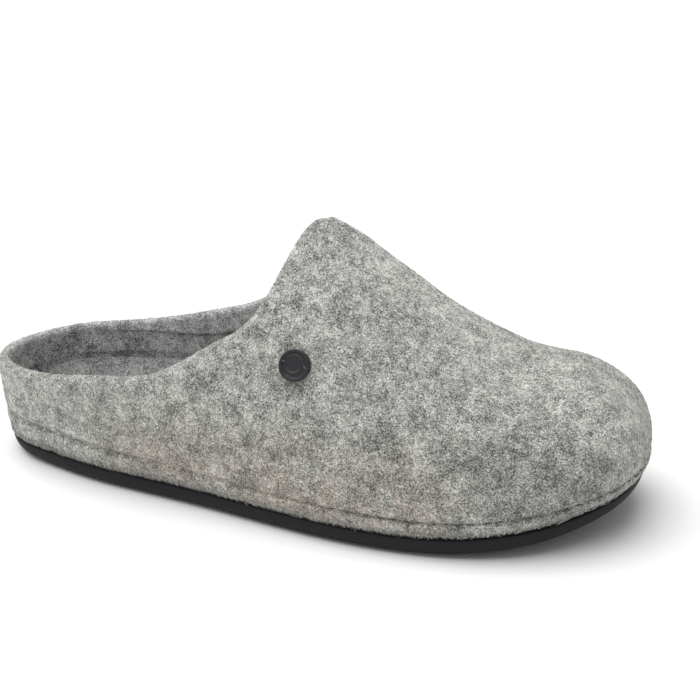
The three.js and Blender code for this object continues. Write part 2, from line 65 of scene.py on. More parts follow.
RIDGE_ASIDE = 13.0
HEEL_SET_FORWARD = 35.0
SET_FORWARD_END = 0.42
WALL_SWELL = 14.0
FELT_WALL = 5.0
HEEL_WALL = 5.2
HEEL_WALL_LENGTH = 70.0
SOLE_THICKNESS = 9.0
FIT_GAP = 0.3
MIDDLE_STATION = 0.5
POLE_STATION = 0.82
LATERAL = -1.0
MEDIAL = 1.0

# Half widths of the outline as shares of the width there, at shares of the sole's length.
OUTLINE = {
    "at": [0, 0.02, 0.06, 0.12, 0.2, 0.3, 0.4, 0.5, 0.6, 0.7, 0.8, 0.88, 0.94, 0.98, 1],
    "lateral": [
        0, 0.225, 0.336, 0.411, 0.488, 0.544, 0.572, 0.577, 0.569, 0.555, 0.513, 0.418, 0.285, 0.136, -0.1
    ],
    "medial": [0, 0.22, 0.38, 0.445, 0.486, 0.465, 0.413, 0.388, 0.411, 0.459, 0.487, 0.46, 0.393, 0.28, 0.1],
}
# Height of the ridge from the toe (0) to the instep (1), at shares of the way from mid sole to the toe's
# pole.
RIDGE_PROFILE = {
    "along": [0, 0.1, 0.41, 0.7, 0.89, 1],
    "height": [1, 0.956, 0.576, 0.21, 0.047, 0],
}
# Cross sections, at stations from heel (0) to toe (1).
SECTIONS = {
    "station": [0, 0.25, 0.4, 0.5, 0.6, 0.7, 0.8, 0.9, 1],
    "aside": [0, 0.04, 0.2, 0.27, 0.34, 0.735, 0.98, 1, 1],
    "rise": [0.59, 0.59, 0.536, 0.46, 0.486, 0.508, 0.49, 0.53, 0.415],
    "swell": [1, 0.57, 0.35, 0.1, 0.074, 0.357, 0.795, 1.08, 0.58],
    "flat": [0.53, 0.44, 0.364, 0.245, 0.345, 0.402, 0.474, 0.575, 0.54],
}
# Height of the collar's edge on each side, at shares of the opening's length.
COLLAR = {
    "along": [-0.08, 0.06, 0.2, 0.4, 0.6, 0.76, 0.88, 0.96, 1],
    "lateral": [0.035, 0.044, 0.052, 0.118, 0.205, 0.4, 0.645, 0.985, 1],
    "medial": [0.035, 0.042, 0.07, 0.13, 0.25, 0.392, 0.66, 0.933, 1],
}


def smooth(share):
    """Rises from 0 to 1 with level ends: three times the square less twice the cube."""
    share = np.clip(share, 0, 1)
    return share * share * (3 - 2 * share)


def mix(first, second, share):
    """The value a share of the way from the first to the second."""
    return first + (second - first) * share


def unit(vectors):
    """The same directions with length one."""
    return vectors / np.maximum(np.linalg.norm(vectors, axis=-1, keepdims=True), 1e-12)


def curve_through(places, values, level_start=False, level_end=False):
    """A cubic spline through a table's rows. Its bends solve three-term equations, with each end level or
    free."""
    places = np.array(places, float)
    values = np.array(values, float)
    gaps = np.diff(places)
    climbs = np.diff(values) / gaps
    last = len(places) - 1
    terms = np.eye(last + 1)
    goal = np.zeros(last + 1)
    for row in range(1, last):
        terms[row, row - 1 : row + 2] = gaps[row - 1], 2 * (gaps[row - 1] + gaps[row]), gaps[row]
        goal[row] = 6 * (climbs[row] - climbs[row - 1])
    if level_start:
        terms[0, :2] = 2 * gaps[0], gaps[0]
        goal[0] = 6 * climbs[0]
    if level_end:
        terms[last, last - 1 :] = gaps[-1], 2 * gaps[-1]
        goal[last] = -6 * climbs[-1]
    bends = np.linalg.solve(terms, goal)

    def value_at(place):
        inside = np.clip(place, places[0], places[-1])
        row = np.clip(np.searchsorted(places, inside, side="left") - 1, 0, last - 1)
        behind = inside - places[row]
        ahead = places[row + 1] - inside
        curved = (bends[row] * ahead**3 + bends[row + 1] * behind**3) / (6 * gaps[row])
        from_start = (values[row] / gaps[row] - bends[row] * gaps[row] / 6) * ahead
        from_end = (values[row + 1] / gaps[row] - bends[row + 1] * gaps[row] / 6) * behind
        return curved + from_start + from_end

    return value_at


def along_at(station):
    """Distance from the heel at a station, which is an angle round half the outline."""
    return SOLE_LENGTH * (1 - np.cos(np.pi * station)) / 2


def station_at(along):
    """The station at a distance from the heel."""
    return np.arccos(1 - 2 * np.asarray(along) / SOLE_LENGTH) / np.pi


def width_at(share):
    """The width between heel and ball, which blends over the waist."""
    return mix(HEEL_WIDTH, BALL_WIDTH, smooth((share - WAIST_START) / (WAIST_END - WAIST_START)))


outline_shares = np.array(OUTLINE["at"], float)
outline_stations = station_at(outline_shares * SOLE_LENGTH)
outline_curve = {
    name: curve_through(outline_stations, np.array(OUTLINE[name]) * width_at(outline_shares))
    for name in ("lateral", "medial")
}
section_curve = {
    name: curve_through(SECTIONS["station"], SECTIONS[name], True, True)
    for name in ("aside", "rise", "swell", "flat")
}
middle_along = along_at(MIDDLE_STATION)
pole_along = SOLE_LENGTH - RIDGE_SETBACK
profile_curve = curve_through(
    mix(middle_along, pole_along, np.array(RIDGE_PROFILE["along"])),
    mix(TOE_HEIGHT, INSTEP_HEIGHT, np.array(RIDGE_PROFILE["height"])),
    True,
)


def spring_at(along):
    """Height of the ground line: flat to the ball, then a parabola up to the toe."""
    share = np.maximum(0, (along - TOE_SPRING_START) / (SOLE_LENGTH - TOE_SPRING_START))
    return TOE_SPRING * share**2


def by_side(side, curves, place):
    """The outer side's curve, or the inner side's, read at a place."""
    return np.where(side < 0, curves["lateral"](place), curves["medial"](place))


def outline_point(station, side):
    """A point of the outline in plan: the station's distance along, and the half width there on its side."""
    return np.stack([along_at(station), side * by_side(side, outline_curve, station)], -1)


def outline_normal(station, side):
    """The outline's outward direction in plan, square to its own slope."""
    reach = 0.0001
    after = outline_point(np.minimum(station + reach, 1), side)
    ahead = unit(after - outline_point(np.maximum(station - reach, 0), side))
    return np.stack([-side * ahead[..., 1], side * ahead[..., 0]], -1)


def ridge_along(station):
    """Where the ridge lies along the shoe: it keeps the outline's pace at mid sole and stops at the toe's
    pole."""
    behind = along_at(station) + HEEL_SET_FORWARD * smooth((SET_FORWARD_END - station) / SET_FORWARD_END)
    share = np.clip((station - MIDDLE_STATION) / (POLE_STATION - MIDDLE_STATION), 0, 1)
    pace = np.pi / 2 * SOLE_LENGTH * (POLE_STATION - MIDDLE_STATION)
    front = mix(middle_along, pole_along, smooth(share)) + pace * share * (1 - share) ** 2
    return np.where(station <= MIDDLE_STATION, behind, front)


def ridge_point(station):
    """A point of the ridge: level behind mid sole, and on the profile's curve in front."""
    along = ridge_along(station)
    height = np.where(station <= MIDDLE_STATION, INSTEP_HEIGHT, profile_curve(along))
    return np.stack([along, RIDGE_ASIDE * section_curve["aside"](station), SOLE_THICKNESS + height], -1)


def ridge_slope(station):
    """The slope of the ridge over the vamp, from two points half a millimetre either side."""
    reach = 0.5
    ahead = np.minimum(ridge_along(station) + reach, pole_along)
    behind = np.minimum(np.maximum(ridge_along(station) - reach, middle_along), pole_along - reach)
    ahead = np.maximum(ahead, behind + reach)
    slope = (profile_curve(ahead) - profile_curve(behind)) / (ahead - behind)
    return np.where(station <= MIDDLE_STATION, 0, slope)


def felt_foot(along):
    """Height of the shell's lower edge, just clear of the rubber."""
    return SOLE_THICKNESS + FIT_GAP + spring_at(along)


def shell_point(station, side, across):
    """A point of the outer face, across running from 0 at the sole to 1 at the ridge. The half section is a
    cubic curve that leaves the outline upwards and outwards and runs level into the ridge."""
    station, side, across = np.broadcast_arrays(station, side, across)
    foot = outline_point(station, side)
    outward = outline_normal(station, side)
    top = ridge_point(station)
    start = np.stack([foot[..., 0], foot[..., 1], felt_foot(foot[..., 0])], -1)
    swell = section_curve["swell"](station) * WALL_SWELL
    rise = section_curve["rise"](station) * (top[..., 2] - start[..., 2])
    wall = start + np.stack([outward[..., 0] * swell, outward[..., 1] * swell, rise], -1)
    flat = section_curve["flat"](station)
    back = (start[..., 0] - top[..., 0]) * flat
    aside = mix(top[..., 1], start[..., 1], flat)
    crown = np.stack([top[..., 0] + back, aside, top[..., 2] + ridge_slope(station) * back], -1)
    near = across[..., None]
    far = 1 - near
    return far**3 * start + 3 * far**2 * near * wall + 3 * far * near**2 * crown + near**3 * top


def shell_tangents(station, side, across):
    """The directions along the shoe and up the section, each from two points close by."""
    reach = 0.001
    near = np.minimum(across, 1 - 3 * reach)
    ahead = np.minimum(station + reach, 1)
    behind = np.maximum(station - reach, 0)
    along = shell_point(ahead, side, near) - shell_point(behind, side, near)
    below = np.maximum(near - reach, 0)
    up = shell_point(station, side, near + reach) - shell_point(station, side, below)
    return along / (ahead - behind)[..., None], up / (near + reach - below)[..., None]


def shell_normal(station, side, across):
    """The outer face's outward direction, square to both tangents."""
    station, side, across = np.broadcast_arrays(station, side, across)
    along, up = shell_tangents(station, side, across)
    return unit(np.cross(along, up) * -side[..., None])


HALVINGS = 30


def find_across(measure, size):
    """The share of each section at which a rising measure passes zero, found by halving."""
    low = np.zeros(size)
    high = np.ones(size)
    for _ in range(HALVINGS):
        middle = (low + high) / 2
        over = measure(middle) > 0
        high = np.where(over, middle, high)
        low = np.where(over, low, middle)
    return (low + high) / 2


def across_at_height(station, side, height):
    """The share of each section at a height above the shell's foot."""
    station, side, height = np.broadcast_arrays(station, side, height)
    foot = shell_point(station, side, 0)[..., 2]
    return find_across(lambda share: shell_point(station, side, share)[..., 2] - foot - height, station.shape)


front_station = station_at(OPENING_LENGTH)
front_rise = ridge_point(front_station)[2] - SOLE_THICKNESS - HEEL_HEIGHT
collar_curve = {
    name: curve_through(np.array(COLLAR["along"]) * OPENING_LENGTH, COLLAR[name])
    for name in ("lateral", "medial")
}


def collar_across(station, side):
    """The share of each section at which it meets the collar's edge; 1, the ridge, in front of the
    opening."""

    def over_edge(share):
        point = shell_point(station, side, share)
        edge = by_side(side, collar_curve, point[..., 0])
        return point[..., 2] - SOLE_THICKNESS - HEEL_HEIGHT - front_rise * edge

    return np.where(station >= front_station, 1.0, find_across(over_edge, station.shape))


def wall_at(along):
    """Thickness of the felt: a thicker roll round the heel."""
    return mix(HEEL_WALL, FELT_WALL, smooth(along / HEEL_WALL_LENGTH))


# Columns run round the shoe, heel to toe on the outer side and back on the inner side, closer at the
# opening's front.
COLLAR_COLUMNS = 110
VAMP_COLUMNS = 62
TOE_COLUMNS = 38
CROWDING = 1.5
stations = np.concatenate([
    front_station * (1 - (1 - np.arange(COLLAR_COLUMNS) / COLLAR_COLUMNS) ** CROWDING),
    mix(front_station, POLE_STATION, np.arange(VAMP_COLUMNS) / VAMP_COLUMNS),
    mix(POLE_STATION, 1, np.arange(TOE_COLUMNS + 1) / TOE_COLUMNS),
])
last_station = len(stations) - 1
column_index = np.concatenate([np.arange(last_station + 1), np.arange(last_station - 1, 0, -1)])
column_station = stations[column_index]
column_side = np.where(np.arange(len(column_index)) <= last_station, LATERAL, MEDIAL)
column_collar = collar_across(column_station, column_side)
column_edge = shell_point(column_station, column_side, column_collar)
on_collar = column_index <= COLLAR_COLUMNS
collar_order = np.flatnonzero(on_collar)
edge_loop = column_edge[collar_order]
edge_ahead = np.roll(edge_loop, -1, 0) - np.roll(edge_loop, 1, 0)
edge_ahead[column_index[collar_order] == COLLAR_COLUMNS] = (0, 1, 0)
edge_normal = shell_normal(column_station, column_side, column_collar)
leaving = np.zeros_like(column_edge)
leaving[collar_order] = unit(np.cross(edge_normal[collar_order], edge_ahead))
rim_radius = wall_at(column_edge[:, 0]) / 2

BAND_HEIGHT_HEEL = 11.5
BAND_HEIGHT_TOE = 5.4
BAND_FADE = 2.5
BAND_BULGE = 0.5
BULGE_RISE_SHARE = 0.6
BULGE_FALL_SHARE = 0.3
GROOVE_WIDTH = 2.4
GROOVE_WIDTH_HEEL = 4.5
GROOVE_NARROWING_START = 60.0
GROOVE_NARROWING_LENGTH = 120.0
GROOVE_DEPTH = 0.8
FOOT_UNDERCUT = 0.5
FOOT_ROUNDING = 0.6
BUTTON_ALONG = 146.3
BUTTON_RISE = 56.0
BUTTON_DIAMETER = 12.5
BUTTON_DENT = 0.5
DENT_REACH = 1.15
DENT_POWER = 4

button_station = station_at(BUTTON_ALONG)
button_across = across_at_height(button_station, LATERAL, BUTTON_RISE)
button_point = shell_point(button_station, LATERAL, button_across)
button_normal = shell_normal(button_station, LATERAL, button_across)


def band_height(along):
    """Height of the stitched groove above the shell's foot, lower towards the toe."""
    share = np.clip(1 - along / SOLE_LENGTH, 0, 1)
    return mix(BAND_HEIGHT_TOE, BAND_HEIGHT_HEEL, share**BAND_FADE)


# Soft troughs (negative) and ridges (positive) that wear has set in the felt, each an oval on the outer face:
# its side, its centre along the shoe and above the foot, its half length, its half height, its lean in
# degrees and its relief.
FOLDS = [
    (LATERAL, 112, 40, 20, 7, 38, -0.7),
    (LATERAL, 186, 44, 15, 6, -28, -0.6),
    (LATERAL, 206, 24, 22, 7, 12, -0.5),
    (LATERAL, 60, 20, 24, 6, 4, -0.5),
    (MEDIAL, 110, 38, 20, 8, 34, -0.8),
    (MEDIAL, 196, 30, 18, 6, -24, -0.7),
    (MEDIAL, 60, 20, 24, 6, 4, -0.5),
    (LATERAL, 149, 97, 6, 7, 0, -0.7),
    (MEDIAL, 149, 97, 6, 7, 0, -0.7),
]
LUMP_HEIGHT = 0.22
LUMP_COUNT = 14
LUMP_SEED = 11
LUMP_FADE = 12.0
LUMP_LENGTHS = (22.0, 60.0)
lump_numbers = np.random.default_rng(LUMP_SEED)
lump_directions = unit(lump_numbers.normal(size=(LUMP_COUNT, 3)))
lump_lengths = lump_numbers.uniform(*LUMP_LENGTHS, LUMP_COUNT)
lump_starts = lump_numbers.uniform(0, 2 * np.pi, LUMP_COUNT)


def soft_lumps(points):
    """The felt's slight unevenness: a sum of long waves in fixed directions."""
    waves = np.sin(points @ (lump_directions * (2 * np.pi / lump_lengths)[:, None]).T + lump_starts)
    return LUMP_HEIGHT * waves.sum(-1) / np.sqrt(LUMP_COUNT)


def outer_relief(points, side):
    """How far the real outer face lies off the smooth one: a bulging band, a groove over it, a foot that
    turns in, a dent round the button, the folds as ovals that fade like a bell, and soft lumps."""
    along = points[..., 0]
    above = points[..., 2] - felt_foot(along)
    band = band_height(along)
    forward = smooth((along - GROOVE_NARROWING_START) / GROOVE_NARROWING_LENGTH)
    half_width = mix(GROOVE_WIDTH_HEEL, GROOVE_WIDTH, forward) / 2
    from_groove = np.clip(np.abs(above - band) / half_width, 0, 1)
    bulge = smooth(above / (BULGE_RISE_SHARE * band)) * smooth((band - above) / (BULGE_FALL_SHARE * band))
    relief = BAND_BULGE * bulge - GROOVE_DEPTH * (1 + np.cos(np.pi * from_groove)) / 2
    relief = relief + soft_lumps(points) * smooth(above / LUMP_FADE)
    relief = relief - FOOT_UNDERCUT * np.exp(-np.maximum(above, 0) / FOOT_ROUNDING)
    from_button = np.linalg.norm(points - button_point, axis=-1) / (BUTTON_DIAMETER / 2)
    relief = relief - BUTTON_DENT * np.exp(-((from_button / DENT_REACH) ** DENT_POWER))
    for fold_side, fold_along, fold_above, half_length, half_height, lean, depth in FOLDS:
        turn = np.radians(lean)
        ahead = along - fold_along
        over = above - fold_above
        long_way = (ahead * np.cos(turn) + over * np.sin(turn)) / half_length
        short_way = (over * np.cos(turn) - ahead * np.sin(turn)) / half_height
        relief = relief + (side == fold_side) * depth * np.exp(-(long_way**2) - short_way**2)
    return relief


# Rows of the outer face: close together over the band and groove, then even steps to the collar or the ridge.
BAND_ROWS = 18
OUTER_ROWS = 80
groove_top = band_height(along_at(column_station)) + GROOVE_WIDTH
band_shares = np.linspace(0, 1, BAND_ROWS)[:, None]
band_across = across_at_height(column_station[None], column_side[None], band_shares * groove_top[None])
row_shares = np.arange(1, OUTER_ROWS + 1)[:, None] / OUTER_ROWS
row_across = mix(band_across[-1][None], column_collar[None], row_shares)

# Near the collar the points move back within the face, to where the rounded rim starts.
RIM_ROLL_POWER = 4
tangent_along, tangent_up = shell_tangents(column_station, column_side, column_collar)
shift = leaving[None] * (-rim_radius[None, :, None] * row_shares[..., None] ** RIM_ROLL_POWER)
along_along = (tangent_along**2).sum(-1)
along_up = (tangent_along * tangent_up).sum(-1)
up_up = (tangent_up**2).sum(-1)
shift_along = (shift * tangent_along).sum(-1)
shift_up = (shift * tangent_up).sum(-1)
spread = along_along * up_up - along_up**2
row_station = column_station[None] + (shift_along * up_up - shift_up * along_up) / spread
row_station = np.where(on_collar, np.clip(row_station, 0, 1), column_station)
moved_across = row_across + (shift_up * along_along - shift_along * along_up) / spread
row_across = np.where(on_collar, np.minimum(moved_across, 1), row_across)

all_station = np.concatenate([np.broadcast_to(column_station, band_across.shape), row_station])
all_across = np.concatenate([band_across, row_across])
all_side = np.broadcast_to(column_side, all_across.shape)
outer_smooth = shell_point(all_station, all_side, all_across)
outer_normals = shell_normal(all_station, all_side, all_across)
rim_fade = np.ones_like(all_across)
rim_fade[-1] = np.where(on_collar, 1, 0)
outer_rows = outer_smooth + outer_normals * (outer_relief(outer_smooth, all_side) * rim_fade)[..., None]

# The inner face runs from the collar down past the footbed's edge.
INNER_ROWS = 44
RIM_STEPS = 10
BED_ROWS_BELOW = 6
CUP_HEIGHT = 20.0
BALL_BED_HEIGHT = 7.0
# Height of the footbed, from the ball (0) to the heel cup's edge (1), at stations from heel to toe.
BED_SECTIONS = {
    "station": [0, 0.2, 0.4, 0.5, 0.62, 0.8, 1],
    "middle": [0.42, 0.36, 0.38, 0.3, 0.1, -0.1, 0.05],
    "lateral": [0.96, 0.96, 0.7, 0.4, 0.2, 0.05, 0.12],
    "medial": [0.96, 1.14, 1.45, 1.4, 0.6, 0.05, 0.12],
}
bed_curve = {
    name: curve_through(BED_SECTIONS["station"], BED_SECTIONS[name], True, True)
    for name in ("middle", "lateral", "medial")
}


def bed_height(share):
    """Height of the footbed above the shell's foot, a share of the way from the ball to the cup's edge."""
    return mix(BALL_BED_HEIGHT, CUP_HEIGHT, share)


bed_edge = bed_height(by_side(column_side, bed_curve, column_station))
bed_edge_across = across_at_height(column_station, column_side, bed_edge)


def inside_point(across, clearance):
    """A point on the shell's inner face, or deeper inside it: the outer point less the wall along the normal.
    The lowest row stands level with the shell's foot."""
    station, side, across = np.broadcast_arrays(column_station, column_side, across)
    outer = shell_point(station, side, across)
    depth = wall_at(outer[..., 0]) + clearance
    inner = outer - shell_normal(station, side, across) * depth[..., None]
    inner[..., 2] = np.where(across == 0, felt_foot(inner[..., 0]), inner[..., 2])
    return inner


# The facing is the strip under the collar whose lower edge stands in a little less than the wall below it. It
# deepens from the heel on, and fades out at both ends.
FACING_DEPTH_BACK = 3.0
FACING_DEPTH_FRONT = 11.5
FACING_DEEPENING_START = 35.0
FACING_DEEPENING_LENGTH = 55.0
FACING_START = 25.0
FACING_START_FADE = 20.0
FACING_END = 150.0
FACING_END_FADE = 30.0
FACING_EDGE = 1.2
FACING_STEP = 0.9
# Soft upright pleats where the wall turns round the heel.
PLEAT_HEIGHT = 0.5
PLEAT_REACH = 22.0
PLEAT_COLUMNS = 6.5
PLEAT_FADE = 8.0
inner_shares = np.arange(INNER_ROWS, -1, -1)[:, None] / INNER_ROWS
bed_share = BED_ROWS_BELOW / INNER_ROWS
inner_across = np.where(
    inner_shares <= bed_share,
    bed_edge_across[None] * inner_shares / bed_share,
    mix(bed_edge_across[None], column_collar[None], (inner_shares - bed_share) / (1 - bed_share)),
)
inner_heights = shell_point(*np.broadcast_arrays(column_station, column_side, inner_across))[..., 2]
below_collar = inner_heights[:1] - inner_heights
column_along = along_at(column_station)
deepening = smooth((column_along - FACING_DEEPENING_START) / FACING_DEEPENING_LENGTH)
facing_depth = mix(FACING_DEPTH_BACK, FACING_DEPTH_FRONT, deepening)
facing_starts = smooth((column_along - FACING_START) / FACING_START_FADE)
facing_ends = facing_starts * smooth((FACING_END - column_along) / FACING_END_FADE)
facing = smooth((facing_depth - below_collar) / FACING_EDGE) * below_collar / facing_depth
heel_pleats = smooth(1 - column_along / PLEAT_REACH) * np.sin(2 * np.pi * column_index / PLEAT_COLUMNS)
pleats = PLEAT_HEIGHT * heel_pleats * smooth(below_collar / PLEAT_FADE)
inner_rows = inside_point(inner_across, FACING_STEP * facing * facing_ends + pleats)
rim_share = inner_shares[..., None] ** RIM_ROLL_POWER
inner_rows = inner_rows - leaving[None] * (rim_radius[None, :, None] * rim_share)

rim_angles = np.pi * np.arange(1, RIM_STEPS)[:, None, None] / RIM_STEPS
rim_offset = rim_radius[collar_order][None, :, None]
rim_rows = (
    edge_loop[None]
    - edge_normal[collar_order][None] * rim_offset * (1 - np.cos(rim_angles))
    - leaving[collar_order][None] * rim_offset * (1 - np.sin(rim_angles))
)
rim_rows = rim_rows + edge_normal[collar_order][None] * (
    outer_relief(edge_loop, column_side[collar_order])[None, :, None] * (1 + np.cos(rim_angles)) / 2
)


class MeshBuilder:
    """Collects rings of points and the quads between them. Corners of one face that fall together make a
    triangle."""

    def __init__(self):
        self.points = []
        self.faces = []
        self.slots = []
        self.count = 0

    def ring(self, points, keys=None):
        """Adds a ring and gives its point numbers. Points with the same key, if not negative, become one."""
        numbers = np.arange(len(points))
        if keys is not None:
            shared = np.flatnonzero(keys >= 0)
            _, first, back = np.unique(keys[shared], return_index=True, return_inverse=True)
            numbers[shared] = shared[first][back.ravel()]
        self.points.append(points)
        self.count += len(points)
        return numbers + self.count - len(points)

    def stitch(self, lower, upper, closed=True, slot=0):
        """Joins two rings by quads that face out when the rings run round to the left seen from outside
        below."""
        following = np.roll(np.arange(len(lower)), -1)
        steps = np.arange(len(lower) if closed else len(lower) - 1)
        next_steps = following[steps]
        quads = np.stack([lower[steps], lower[next_steps], upper[next_steps], upper[steps]], -1)
        self.faces.append(quads)
        self.slots.append(np.full(len(quads), slot))

    def mesh(self, name, place):
        """Makes the mesh in the frame's metres, with double points merged and unused ones left out."""
        points = place(np.concatenate(self.points))
        quads = np.concatenate(self.faces)
        slots = np.concatenate(self.slots)
        used, quads = np.unique(quads, return_inverse=True)
        points = points[used]
        quads = quads.reshape(-1, 4)
        faces = []
        kept = []
        for number, quad in enumerate(quads.tolist()):
            corners = [corner for order, corner in enumerate(quad) if corner != quad[order - 1]]
            if len(set(corners)) == len(corners) and len(corners) > 2:
                faces.append(corners)
                kept.append(number)
        mesh = bpy.data.meshes.new(name)
        mesh.from_pydata(points.tolist(), [], faces)
        mesh.polygons.foreach_set("use_smooth", np.ones(len(faces), bool))
        mesh.polygons.foreach_set("material_index", slots[kept].astype(np.int32))
        mesh.update()
        return mesh


WIDEST_TRIES = 2000
outsole_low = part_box("outsole")[0]
widest = outline_curve["lateral"](np.linspace(0, 1, WIDEST_TRIES)).max()
frame_origin = np.array([outsole_low.x * 1000, outsole_low.y * 1000 + widest, 0])


def to_frame(points):
    """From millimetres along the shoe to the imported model's frame in metres, set by the outsole's own box."""
    return (points + frame_origin) / 1000


def add_piece(name, mesh, materials, *nodes):
    """Makes the object, gives it its materials, rides it on the shoe's body and hides the CAD nodes it stands
    for."""
    piece = bpy.data.objects.new(name, mesh)
    bpy.context.scene.collection.objects.link(piece)
    for material in materials:
        mesh.materials.append(material)
    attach(piece, "root")
    if nodes:
        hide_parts(*nodes)
    return piece


OUTER_SLOT = 0
# The inner slot takes a lighter copy of the felt: painted light inside the shell.
LIGHTENED_LINING_SLOT = 1
ridge_columns = np.minimum(column_index, COLLAR_COLUMNS + VAMP_COLUMNS)
ridge_keys = np.where(column_index < COLLAR_COLUMNS, -1, ridge_columns)
builder = MeshBuilder()
outer_rings = [builder.ring(row) for row in outer_rows[:-1]]
outer_rings.append(builder.ring(outer_rows[-1], ridge_keys))
collar_rings = [outer_rings[-1][collar_order]]
collar_rings += [builder.ring(row, ridge_keys[collar_order]) for row in rim_rows]
inner_rings = [builder.ring(inner_rows[0], ridge_keys)]
inner_rings += [builder.ring(row) for row in inner_rows[1:]]
collar_rings.append(inner_rings[0][collar_order])
for lower, upper in zip(outer_rings, outer_rings[1:]):
    builder.stitch(lower, upper, slot=OUTER_SLOT)
for step, (lower, upper) in enumerate(zip(collar_rings, collar_rings[1:])):
    builder.stitch(lower, upper, slot=OUTER_SLOT if step < RIM_STEPS // 2 else LIGHTENED_LINING_SLOT)
for lower, upper in zip(inner_rings, inner_rings[1:]):
    builder.stitch(lower, upper, slot=LIGHTENED_LINING_SLOT)
builder.stitch(inner_rings[-1], outer_rings[0], slot=OUTER_SLOT)
shell_mesh = builder.mesh("upper_felt", to_frame)


SHADE_LINE_STEPS = 6
SHADE_LINE_BATCH = 2000


def mark_painted_shade(mesh, lines):
    """Marks painted shade by how near each point lies to a closed line where shade falls, as a bell of the
    distance.
    Each line comes with the bell's width and its strength at each of the line's points. The squared distances
    to the line's close-set points are worked out for a batch of points at a time, to save memory."""
    places = np.empty(3 * len(mesh.vertices), np.float32)
    mesh.vertices.foreach_get("co", places)
    places = places.reshape(-1, 3).astype(float)
    marks = np.zeros(len(places))
    for line, width, strength in lines:
        shares = np.arange(0, len(line), 1 / SHADE_LINE_STEPS)
        turns = np.arange(len(line) + 1)
        closed = to_frame(np.concatenate([line, line[:1]]))
        strengths = np.interp(shares, turns, np.append(strength, strength[0]))
        dense = np.stack([np.interp(shares, turns, closed[:, axis]) for axis in range(3)], -1)
        for batch in np.array_split(np.arange(len(places)), len(places) // SHADE_LINE_BATCH + 1):
            squares = (dense**2).sum(-1) - 2 * places[batch] @ dense.T
            nearest = squares.argmin(1)
            distance = 1000 * np.linalg.norm(places[batch] - dense[nearest], axis=-1)
            marks[batch] = np.maximum(marks[batch], strengths[nearest] * np.exp(-((distance / width) ** 2)))
    mesh.attributes.new("painted_shade", "FLOAT", "POINT").data.foreach_set("value", marks.astype(np.float32))


# How strongly painted shade darkens the felt along the groove, at places along the shoe, and the width and
# strength of the painted shade along the footbed's edge and under the facing.
GROOVE_SHADE = {"along": [40, 90, 150, 190], "strength": [0.6, 0.12, 0.12, 0.3]}
GROOVE_SHADE_WIDTH = 1.5
BED_SHADE_WIDTH = 0.5
BED_SHADE_STRENGTH = 0.7
FACING_SHADE_WIDTH = 0.8
FACING_SHADE_STRENGTH = 0.6
groove_across = across_at_height(column_station, column_side, band_height(column_along))
groove_smooth = shell_point(column_station, column_side, groove_across)
groove_normals = shell_normal(column_station, column_side, groove_across)
groove_line = groove_smooth + groove_normals * outer_relief(groove_smooth, column_side)[..., None]
groove_shade_strength = np.interp(column_along, GROOVE_SHADE["along"], GROOVE_SHADE["strength"])
bed_line = inside_point(bed_edge_across, 0)
collar_height = column_edge[:, 2] - felt_foot(column_edge[:, 0])
facing_line = inside_point(across_at_height(column_station, column_side, collar_height - facing_depth), 0)
shell_shade_lines = [
    (groove_line, GROOVE_SHADE_WIDTH, groove_shade_strength),
    (bed_line, BED_SHADE_WIDTH, np.full(len(bed_line), BED_SHADE_STRENGTH)),
    (facing_line, FACING_SHADE_WIDTH, FACING_SHADE_STRENGTH * facing_ends),
]
# Painted shade as a point attribute: it darkens the felt in the groove, along the footbed's edge and under the
# facing.
mark_painted_shade(shell_mesh, shell_shade_lines)


def linear(hex_colour):
    """An sRGB hex colour as linear red, green, blue and alpha."""
    channels = [int(hex_colour[start : start + 2], 16) / 255 for start in (1, 3, 5)]
    return [c / 12.92 if c <= 0.04045 else ((c + 0.055) / 1.055) ** 2.4 for c in channels] + [1.0]


def add_node(tree, kind, inputs, stops=(), **settings):
    """Adds a node with its settings, and fills its inputs: a socket is linked and anything else is set. A
    ramp also takes its stops, each a place and a hex colour."""
    node = tree.nodes.new(kind)
    for name, value in settings.items():
        setattr(node, name, value)
    for name, value in inputs.items():
        if isinstance(value, bpy.types.NodeSocket):
            tree.links.new(value, node.inputs[name])
        else:
            node.inputs[name].default_value = value
    if stops:
        elements = node.color_ramp.elements
        while len(elements) < len(stops):
            elements.new(0.5)
        for element, (place, colour) in zip(elements, stops):
            element.position = place
            element.color = linear(colour)
    return node


def new_material(name, settings):
    """A material with its output and its Principled shader, whose own sockets take the settings."""
    material = bpy.data.materials.new(name)
    material.use_nodes = True
    tree = material.node_tree
    tree.nodes.clear()
    shader = add_node(tree, "ShaderNodeBsdfPrincipled", settings)
    add_node(tree, "ShaderNodeOutputMaterial", {"Surface": shader.outputs["BSDF"]})
    return material, tree, shader


# Wool felt, needled and fulled: pale and dark fibres lie every way, so the eye sees a melange at every scale
# from one fibre to patches of nearly a centimetre, no gloss, and a faint pale bloom at the edges.
MELANGE_PATCH = 8.0
MELANGE_OCTAVES = 3.0
MELANGE_ROUGHNESS = 0.9
MELANGE_DISTORTION = 0.15
MELANGE_GAIN = 2.0
SPECKLE_SIZE = 0.55
SPECKLE_GAIN = 1.6
STREAK_SIZE = (2.5, 0.31, 0.31)
STREAK_TURNS = [(0.3, 0.5, 0.2), (1.1, 0.2, 1.3), (0.2, 1.2, 2.3), (0.9, 2.2, 0.7)]
STREAK_GAIN = 0.75
STREAK_MEAN = 1.0
# The tone where all three are at their mean is the ramp's middle.
TONE_START = 0.5 - MELANGE_GAIN / 2 - SPECKLE_GAIN / 2 - STREAK_GAIN * STREAK_MEAN
